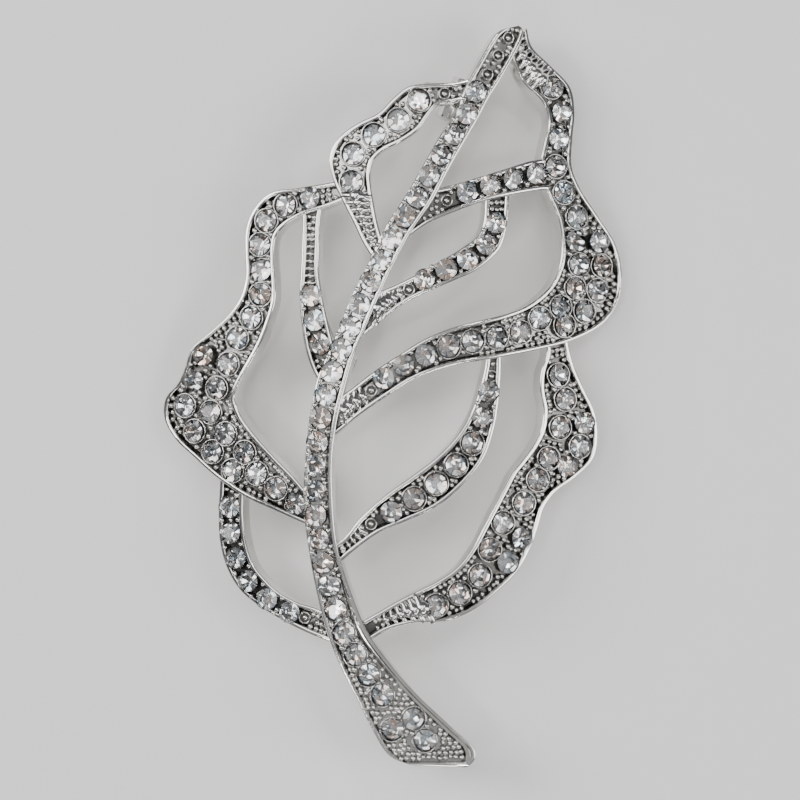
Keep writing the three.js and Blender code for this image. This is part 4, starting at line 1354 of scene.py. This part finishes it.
def make_pin(pin):
    """The pin: its eye, a swelling beside it and the sharpened wire."""
    radius = pin.wire / 2
    section = rounded_section(RIVET_RADIUS + RUN, EYE_RADIUS, -EYE_WIDTH / 2, EYE_WIDTH / 2, EYE_ROUNDING)
    eye = ring_mesh("eye", section, RING_SIDES, about_y=True)
    start = RIVET_RADIUS + RUN + radius / 2
    end = PIN_SPAN + pin.overhang
    point = POINT_LENGTH * pin.wire
    profile = [(0, start), (radius, start)]
    for k in range(POINT_STEPS + 1):
        share = k / POINT_STEPS
        thick = radius * (1 - share**POINT_POWER) + POINT_RADIUS * share
        profile.append((thick, end - point * (1 - share)))
    profile[-1] = (POINT_RADIUS, end - POINT_END)
    profile.append((0, end))
    lengthwise = Matrix.Rotation(math.pi / 2, 4, "Y")
    wire = lathe("wire", profile, WIRE_SIDES, lengthwise)
    swell, near, far = COLLAR_SWELL * radius, EYE_RADIUS + COLLAR_NEAR, EYE_RADIUS + COLLAR_FAR
    profile = [(0, start), (swell, start), (swell, near), (radius, far), (0, far)]
    collar = lathe("collar", profile, WIRE_SIDES, lengthwise)
    return welded("pin_wire", [eye, wire, collar])


def make_catch(leaf, pin):
    """The catch's pad with two open rings on their necks."""
    half = pin.catch / 2
    gap = (TAB_WIDTH + 3 * RUN) / 2
    pad, under = pad_mesh(PIN_SPAN, half, RING_BORE, leaf)
    low = RING_BORE + NECK_DROP
    top = under + PAD_THICKNESS / 2
    bodies = [pad]
    for side in (-1, 1):
        near, far = sorted((PIN_SPAN + side * gap, PIN_SPAN + side * half))
        bodies.append(open_band("ring", RING_BORE, RING_RADIUS, RING_MOUTH, near, far))
        near, far = near + NECK_SET, far - NECK_SET
        rings = []
        for share, width in NECK_LEVELS:
            level, wide = low + share * (top - low), width * RING_BORE
            rings.append([Vector((x, y, level)) for x, y in (
                (near, -wide), (far, -wide), (far, wide), (near, wide))])
        bodies.append(loft("neck", rings))
    return welded("catch_housing", bodies)


def make_sleeve(pin):
    """The slotted sleeve that turns in the rings, with the tab that turns it."""
    half = pin.catch / 2
    sleeve = open_band("sleeve", SLEEVE_BORE, SLEEVE_RADIUS, SLEEVE_SLOT, PIN_SPAN - half, PIN_SPAN + half,
                       SLEEVE_ROUNDING)
    root = SLEEVE_BORE + TAB_ROOT
    rings = []
    for k in range(TAB_STEPS + 1):
        share = k / TAB_STEPS
        y = root + (TAB_REACH - root) * share
        swell = 1 - TAB_WAIST * math.sin(math.pi * min(share * TAB_WAIST_ENDS, 1.0))
        end = math.sqrt(max(1 - max((share - TAB_TIP) / TAB_TIP_LENGTH, 0) ** 2, TAB_LEAST))
        wide = TAB_WIDTH / 2 * swell * end
        thick = TAB_THICKNESS / 2 * (0.85 + 0.15 * end) * (0.4 + 0.6 * end)
        rings.append([
            Vector((PIN_SPAN + wide * math.cos(a) * (1.0 if abs(math.cos(a)) > 0.5 else 0.95), y,
                    thick * math.sin(a)))
            for a in (2 * math.pi * (n + 0.5) / TAB_SIDES for n in range(TAB_SIDES))])
    return welded("catch_sleeve", [sleeve, loft("tab", rings)])


# ---- Finishes ------------------------------------------------------------------------------------
def new_material(name):
    """A new material, its node tools and its main shader."""
    material = bpy.data.materials.new(name)
    material.use_nodes = True
    node, link = node_tools(material.node_tree)
    return material, node, link, material.node_tree.nodes["Principled BSDF"]


def cast_surface():
    """A group shared by the metals: colour darkened by random stains and by painted shade in the recesses,
    and roughness and normal that vary as a plated casting's do.
    """
    tree = bpy.data.node_groups.get("cast_surface")
    if tree:
        return tree
    tree = bpy.data.node_groups.new("cast_surface", "ShaderNodeTree")
    face = tree.interface
    for label, kind, value in (
        ("Vector", "NodeSocketVector", None), ("Bright", "NodeSocketColor", (0.8, 0.8, 0.8, 1)),
        ("Dull", "NodeSocketColor", (0.3, 0.3, 0.3, 1)), ("Recess", "NodeSocketFloat", 0.0),
        ("Polish", "NodeSocketFloat", 0.1), ("Scale", "NodeSocketFloat", 2500.0),
        ("Depth", "NodeSocketFloat", 0.00001),
    ):
        socket = face.new_socket(label, in_out="INPUT", socket_type=kind)
        if value is not None:
            socket.default_value = value
    for label, kind in (("Color", "NodeSocketColor"), ("Roughness", "NodeSocketFloat"),
                        ("Normal", "NodeSocketVector")):
        face.new_socket(label, in_out="OUTPUT", socket_type=kind)
    node, link = node_tools(tree)
    start, end = node("NodeGroupInput"), node("NodeGroupOutput")
    ripple = node("ShaderNodeTexNoise", {"Detail": 4.0, "Roughness": 0.55})
    link(start.outputs["Vector"], ripple.inputs["Vector"])
    link(start.outputs["Scale"], ripple.inputs["Scale"])
    cloud_scale = node("ShaderNodeMath", {1: 0.11}, operation="MULTIPLY")
    link(start.outputs["Scale"], cloud_scale.inputs[0])
    cloud = node("ShaderNodeTexNoise", {"Detail": 2.0})
    link(start.outputs["Vector"], cloud.inputs["Vector"])
    link(cloud_scale.outputs[0], cloud.inputs["Scale"])
    stain = node("ShaderNodeMapRange", {"From Min": 0.35, "From Max": 0.8, "To Min": 0.0, "To Max": 0.3})
    link(cloud.outputs[0], stain.inputs["Value"])
    # Painted shade: the recess amount is added to the random stains, and together they darken the colour.
    stain_and_shade_mix = node("ShaderNodeMath", operation="ADD", use_clamp=True)
    link(start.outputs["Recess"], stain_and_shade_mix.inputs[0])
    link(stain.outputs[0], stain_and_shade_mix.inputs[1])
    tone = node("ShaderNodeMix", data_type="RGBA")
    link(stain_and_shade_mix.outputs[0], tone.inputs["Factor"])
    link(start.outputs["Bright"], tone.inputs[6])
    link(start.outputs["Dull"], tone.inputs[7])
    link(tone.outputs[2], end.inputs["Color"])
    haze = node("ShaderNodeMapRange", {"From Min": 0.3, "From Max": 0.75, "To Min": 0.0, "To Max": 0.12})
    link(ripple.outputs[0], haze.inputs["Value"])
    rough = node("ShaderNodeMath", operation="ADD")
    link(start.outputs["Polish"], rough.inputs[0])
    link(haze.outputs[0], rough.inputs[1])
    deep = node("ShaderNodeMath", {1: 0.14}, operation="MULTIPLY")
    link(start.outputs["Recess"], deep.inputs[0])
    total = node("ShaderNodeMath", operation="ADD", use_clamp=True)
    link(rough.outputs[0], total.inputs[0])
    link(deep.outputs[0], total.inputs[1])
    link(total.outputs[0], end.inputs["Roughness"])
    bump = node("ShaderNodeBump", {"Strength": 0.5})
    link(start.outputs["Depth"], bump.inputs["Distance"])
    link(ripple.outputs[0], bump.inputs["Height"])
    link(bump.outputs[0], end.inputs["Normal"])
    return tree


def metal(name, bright, stain_and_shade_colour, polish, scale, depth, turn=0.0, stretch=(1, 1, 1)):
    material = bpy.data.materials.get(name)
    if material:
        return material
    material, node, link, shader = new_material(name)
    shader.inputs["Metallic"].default_value = 1.0
    place = node("ShaderNodeTexCoord")
    turned = node("ShaderNodeMapping", {"Rotation": (0, 0, -turn), "Scale": stretch})
    link(place.outputs["Object"], turned.inputs["Vector"])
    surface = node("ShaderNodeGroup", node_tree=cast_surface())
    for key, value in (("Bright", (*bright, 1)), ("Dull", (*stain_and_shade_colour, 1)), ("Polish", polish),
                       ("Scale", scale), ("Depth", depth)):
        surface.inputs[key].default_value = value
    link(turned.outputs[0], surface.inputs["Vector"])
    # This attribute carries the painted shade: the deeper a corner lies, the darker its colour.
    recess = node("ShaderNodeAttribute", attribute_name="recess")
    link(recess.outputs["Fac"], surface.inputs["Recess"])
    link(surface.outputs["Color"], shader.inputs["Base Color"])
    link(surface.outputs["Roughness"], shader.inputs["Roughness"])
    link(surface.outputs["Normal"], shader.inputs["Normal"])
    return material


def plate_finish(finish):
    return metal("rhodium_plate", finish.plate, finish.recess, 0.05, 2600, 0.000012)


def grain_finish(finish):
    return metal("cast_grains", tuple(0.92 * c for c in finish.plate), finish.recess, 0.1, 5200, 0.00002)


def steel_finish(finish):
    turn = math.atan2(PIN_ALONG.y, PIN_ALONG.x)
    return metal("drawn_steel", finish.steel, tuple(0.6 * c for c in finish.steel), 0.16, 900, 0.00001,
                 turn, (0.1, 5, 5))


def crystal_finish(finish):
    material = bpy.data.materials.get("clear_crystal")
    if material:
        return material
    material, node, link, shader = new_material("clear_crystal")
    shader.inputs["Transmission Weight"].default_value = 1.0
    shader.inputs["IOR"].default_value = 1.6
    shader.inputs["Roughness"].default_value = 0.0
    place = node("ShaderNodeTexCoord")
    tint = node("ShaderNodeTexNoise", {"Scale": 900.0, "Detail": 1.0})
    link(place.outputs["Object"], tint.inputs["Vector"])
    ramp = node("ShaderNodeValToRGB")
    clear = (*finish.crystal, 1)
    ramp.color_ramp.elements[0].position = 0.3
    ramp.color_ramp.elements[0].color = (0.7, 0.86, 1.0, 1)
    ramp.color_ramp.elements[1].position = 0.42
    ramp.color_ramp.elements[1].color = clear
    for position, colour in ((0.56, clear), (0.66, (1.0, 0.74, 0.6, 1))):
        ramp.color_ramp.elements.new(position).color = colour
    link(tint.outputs[0], ramp.inputs[0])
    link(ramp.outputs[0], shader.inputs["Base Color"])
    return material


def foil_finish():
    return metal("mirror_foil", (0.9, 0.89, 0.88), (0.72, 0.7, 0.69), 0.02, 2000, 0.000002)


# ---- Operators -----------------------------------------------------------------------------------
class BROOCH_OT_casting(bpy.types.Operator):
    """Make the leaf casting: channelled strands with rounded rails, open into each other"""

    bl_idname = "brooch.casting"
    bl_label = "Leaf Casting"

    def execute(self, context):
        scene = context.scene
        thing = make_casting(scene.brooch_leaf, scene.brooch_stones)
        finished(thing, "root", "plated_casting", plate_finish(scene.brooch_finish), "leaf_casting")
        return {"FINISHED"}


class BROOCH_OT_stones(bpy.types.Operator):
    """Set a cut stone in every seat, one piece for each strand's stones"""

    bl_idname = "brooch.stones"
    bl_label = "Stones"

    def execute(self, context):
        leaf, stones = context.scene.brooch_leaf, context.scene.brooch_stones
        finish = context.scene.brooch_finish
        crystal, foil = crystal_finish(finish), foil_finish()
        for strand in STRAND_SET:
            spots = [
                stand_on(seat, strand.layer * leaf.step + GIRDLE_LEVEL, leaf, Vector((1, 0)), stones.bare)
                for seat in strand.seats(stones.diameter, stones.gap)]
            thing = set_on(strand.name + "_gems", spots, cut_stone(stones), crystal, foil,
                           stones.wobble, math.pi, stones.seed + len(spots))
            nodes = [strand.name + "_stones"]
            if strand is MIDRIB:
                nodes = [name for name in frame["nodes"] if name.startswith("midrib_stone_")]
            finished(thing, "root", "crystal", None, *nodes)
        return {"FINISHED"}


class BROOCH_OT_setting(bpy.types.Operator):
    """Make the cast grains, empty cups and rungs on the floor of the strands"""

    bl_idname = "brooch.setting"
    bl_label = "Grains, Cups and Rungs"

    def execute(self, context):
        scene = context.scene
        leaf, stones, setting = scene.brooch_leaf, scene.brooch_stones, scene.brooch_setting
        finish = grain_finish(scene.brooch_finish)
        grains = set_on("setting_grains", grain_spots(leaf, stones, setting), grain_mesh(setting.grain),
                        finish, seed=setting.seed, spin=math.pi)
        cups = set_on("empty_cups", cup_spots(leaf), cup_mesh(setting.cup), finish)
        rungs = set_on("ladder_rungs", rung_spots(leaf, setting), rung_mesh(), finish)
        radius = 0.5 * stones.bare * stones.diameter + SEAT_CLEARANCE
        collars = set_on("stone_collars", collar_spots(leaf, stones), collar_mesh(radius), finish)
        for thing in (grains, cups, rungs, collars):
            finished(thing, "root", "plated_casting", None)
        return {"FINISHED"}


class BROOCH_OT_hinge(bpy.types.Operator):
    """Make the pin's hinge: the soldered pad with its ears, and the rivet through them"""

    bl_idname = "brooch.hinge"
    bl_label = "Hinge"

    def execute(self, context):
        scene = context.scene
        ears = make_hinge(scene.brooch_leaf, scene.brooch_pin)
        finished(ears, "root", "plated_casting", plate_finish(scene.brooch_finish), "hinge_joint")
        finished(make_rivet(), "root", "pin_steel", steel_finish(scene.brooch_finish), "hinge_rivet")
        return {"FINISHED"}


class BROOCH_OT_pin(bpy.types.Operator):
    """Make the pin: a sharpened wire with its eye"""

    bl_idname = "brooch.pin"
    bl_label = "Pin"

    def execute(self, context):
        scene = context.scene
        finished(make_pin(scene.brooch_pin), "pin", "pin_steel", steel_finish(scene.brooch_finish),
                 "pin_stem")
        return {"FINISHED"}


class BROOCH_OT_catch(bpy.types.Operator):
    """Make the safety catch: the open rings on their foot, and the slotted sleeve that turns in them"""

    bl_idname = "brooch.catch"
    bl_label = "Safety Catch"

    def execute(self, context):
        scene = context.scene
        plate = plate_finish(scene.brooch_finish)
        finished(make_catch(scene.brooch_leaf, scene.brooch_pin), "root", "plated_casting", plate,
                 "catch_body")
        finished(make_sleeve(scene.brooch_pin), "roller", "plated_casting", plate, "catch_roller")
        return {"FINISHED"}


# (name, place, width, height, power in W at a key of one), in metres
LIGHTS = (
    ("sky", (0, 0.1, 1.2), 1.5, 1.5, 1.4),
    ("overhead", (-0.1, 0.16, 0.6), 0.3, 0.26, 0.6),
    ("left", (-0.42, 0.16, 0.34), 0.24, 0.36, 1.3),
    ("right", (0.42, -0.06, 0.36), 0.22, 0.36, 0.8),
    ("front", (0.02, -0.46, 0.3), 0.3, 0.1, 0.35),
    ("under_left", (-0.3, -0.1, -0.4), 0.16, 0.3, 0.75),
    ("under_right", (0.3, 0.2, -0.35), 0.12, 0.3, 0.4),
    ("glint_0", (0.12, 0.16, 0.34), 0.03, 0.03, 0.07),
    ("glint_1", (-0.13, -0.12, 0.36), 0.03, 0.03, 0.07),
    ("glint_2", (0.16, -0.22, 0.3), 0.03, 0.03, 0.07),
)
FLOOR_HALF = 1.5
FLOOR_GRAIN = 1.03  # brightness of the floor's lighter grain
SKY_COLOUR, SKY_STRENGTH = (0.93, 0.96, 1.0, 1), 0.14
SENSOR_WIDTH, CLIP_START = 36, 0.01
CAMERA_ASIDE = (0.00062, -0.00035)  # of the frame's origin, m
CAMERA_ABOVE = 0.005  # height at which the camera's distance is measured, m


def soft_light(name, place, width, height, power):
    """A panel of light turned to the frame's origin, unseen by the camera."""
    lamp = bpy.data.lights.new(name, "AREA")
    lamp.shape = "RECTANGLE"
    lamp.size, lamp.size_y, lamp.energy = width, height, power
    thing = bpy.data.objects.new(name, lamp)
    bpy.context.scene.collection.objects.link(thing)
    thing.location = place
    thing.rotation_euler = (-Vector(place)).to_track_quat("-Z", "Y").to_euler()
    thing.visible_camera = False


class BROOCH_OT_stage(bpy.types.Operator):
    """Make the floor, the soft lights and the camera over the leaf"""

    bl_idname = "brooch.stage"
    bl_label = "Floor, Lights and Camera"

    def execute(self, context):
        stage = context.scene.brooch_stage
        half = FLOOR_HALF
        corners = [(-half, -half, 0), (half, -half, 0), (half, half, 0), (-half, half, 0)]
        mesh = bpy.data.meshes.new("floor")
        mesh.from_pydata(corners, [], [(0, 1, 2, 3)])
        floor = new_object("floor", mesh)
        material, node, link, shader = new_material("pale_floor")
        shader.inputs["Roughness"].default_value = 0.75
        grain = node("ShaderNodeTexNoise", {"Scale": 300.0, "Detail": 3.0})
        place = node("ShaderNodeTexCoord")
        link(place.outputs["Object"], grain.inputs["Vector"])
        tone = node("ShaderNodeMix", data_type="RGBA")
        link(grain.outputs[0], tone.inputs["Factor"])
        tone.inputs[6].default_value = (*stage.floor, 1)
        tone.inputs[7].default_value = (*(FLOOR_GRAIN * c for c in stage.floor), 1)
        link(tone.outputs[2], shader.inputs["Base Color"])
        # Seen from below the floor is clear, so that the pin work shows.
        side = node("ShaderNodeNewGeometry")
        clear = node("ShaderNodeBsdfTransparent")
        either = node("ShaderNodeMixShader")
        link(side.outputs["Backfacing"], either.inputs[0])
        link(shader.outputs[0], either.inputs[1])
        link(clear.outputs[0], either.inputs[2])
        link(either.outputs[0], material.node_tree.nodes["Material Output"].inputs["Surface"])
        floor.data.materials.append(material)

        world = context.scene.world or bpy.data.worlds.new("studio")
        context.scene.world = world
        world.use_nodes = True
        world.node_tree.nodes["Background"].inputs["Color"].default_value = SKY_COLOUR
        world.node_tree.nodes["Background"].inputs["Strength"].default_value = SKY_STRENGTH
        for name, place, width, height, share in LIGHTS:
            soft_light(name, place, width, height, share * stage.key)

        lens = bpy.data.cameras.new("camera")
        lens.sensor_width = SENSOR_WIDTH
        lens.lens = lens.sensor_width * stage.distance / stage.view
        lens.clip_start = CLIP_START
        camera = bpy.data.objects.new("camera", lens)
        context.scene.collection.objects.link(camera)
        camera.location = (*CAMERA_ASIDE, stage.distance + CAMERA_ABOVE)
        context.scene.camera = camera
        return {"FINISHED"}


class BROOCH_PT_panel(bpy.types.Panel):
    """The brooch's pieces, in the order they are made"""

    bl_idname = "BROOCH_PT_panel"
    bl_label = "Leaf Brooch"
    bl_space_type = "VIEW_3D"
    bl_region_type = "UI"
    bl_category = "Brooch"

    def draw(self, context):
        for operator in OPERATORS:
            self.layout.operator(operator.bl_idname)
        for name, group in SETTINGS.items():
            column = self.layout.column(align=True)
            for label in group.__annotations__:
                column.prop(getattr(context.scene, name), label)


OPERATORS = (
    BROOCH_OT_stage, BROOCH_OT_casting, BROOCH_OT_stones, BROOCH_OT_setting, BROOCH_OT_hinge,
    BROOCH_OT_pin, BROOCH_OT_catch,
)


def register():
    for group in SETTINGS.values():
        bpy.utils.register_class(group)
    for operator in OPERATORS:
        bpy.utils.register_class(operator)
    bpy.utils.register_class(BROOCH_PT_panel)
    for name, group in SETTINGS.items():
        setattr(bpy.types.Scene, name, PointerProperty(type=group))


def unregister():
    for name in SETTINGS:
        delattr(bpy.types.Scene, name)
    bpy.utils.unregister_class(BROOCH_PT_panel)
    for operator in reversed(OPERATORS):
        bpy.utils.unregister_class(operator)
    for group in reversed(SETTINGS.values()):
        bpy.utils.unregister_class(group)


def main():
    register()
    bpy.ops.brooch.stage()
    bpy.ops.brooch.casting()
    bpy.ops.brooch.stones()
    bpy.ops.brooch.setting()
    bpy.ops.brooch.hinge()
    bpy.ops.brooch.pin()
    bpy.ops.brooch.catch()


if __name__ == "__main__":
    main()
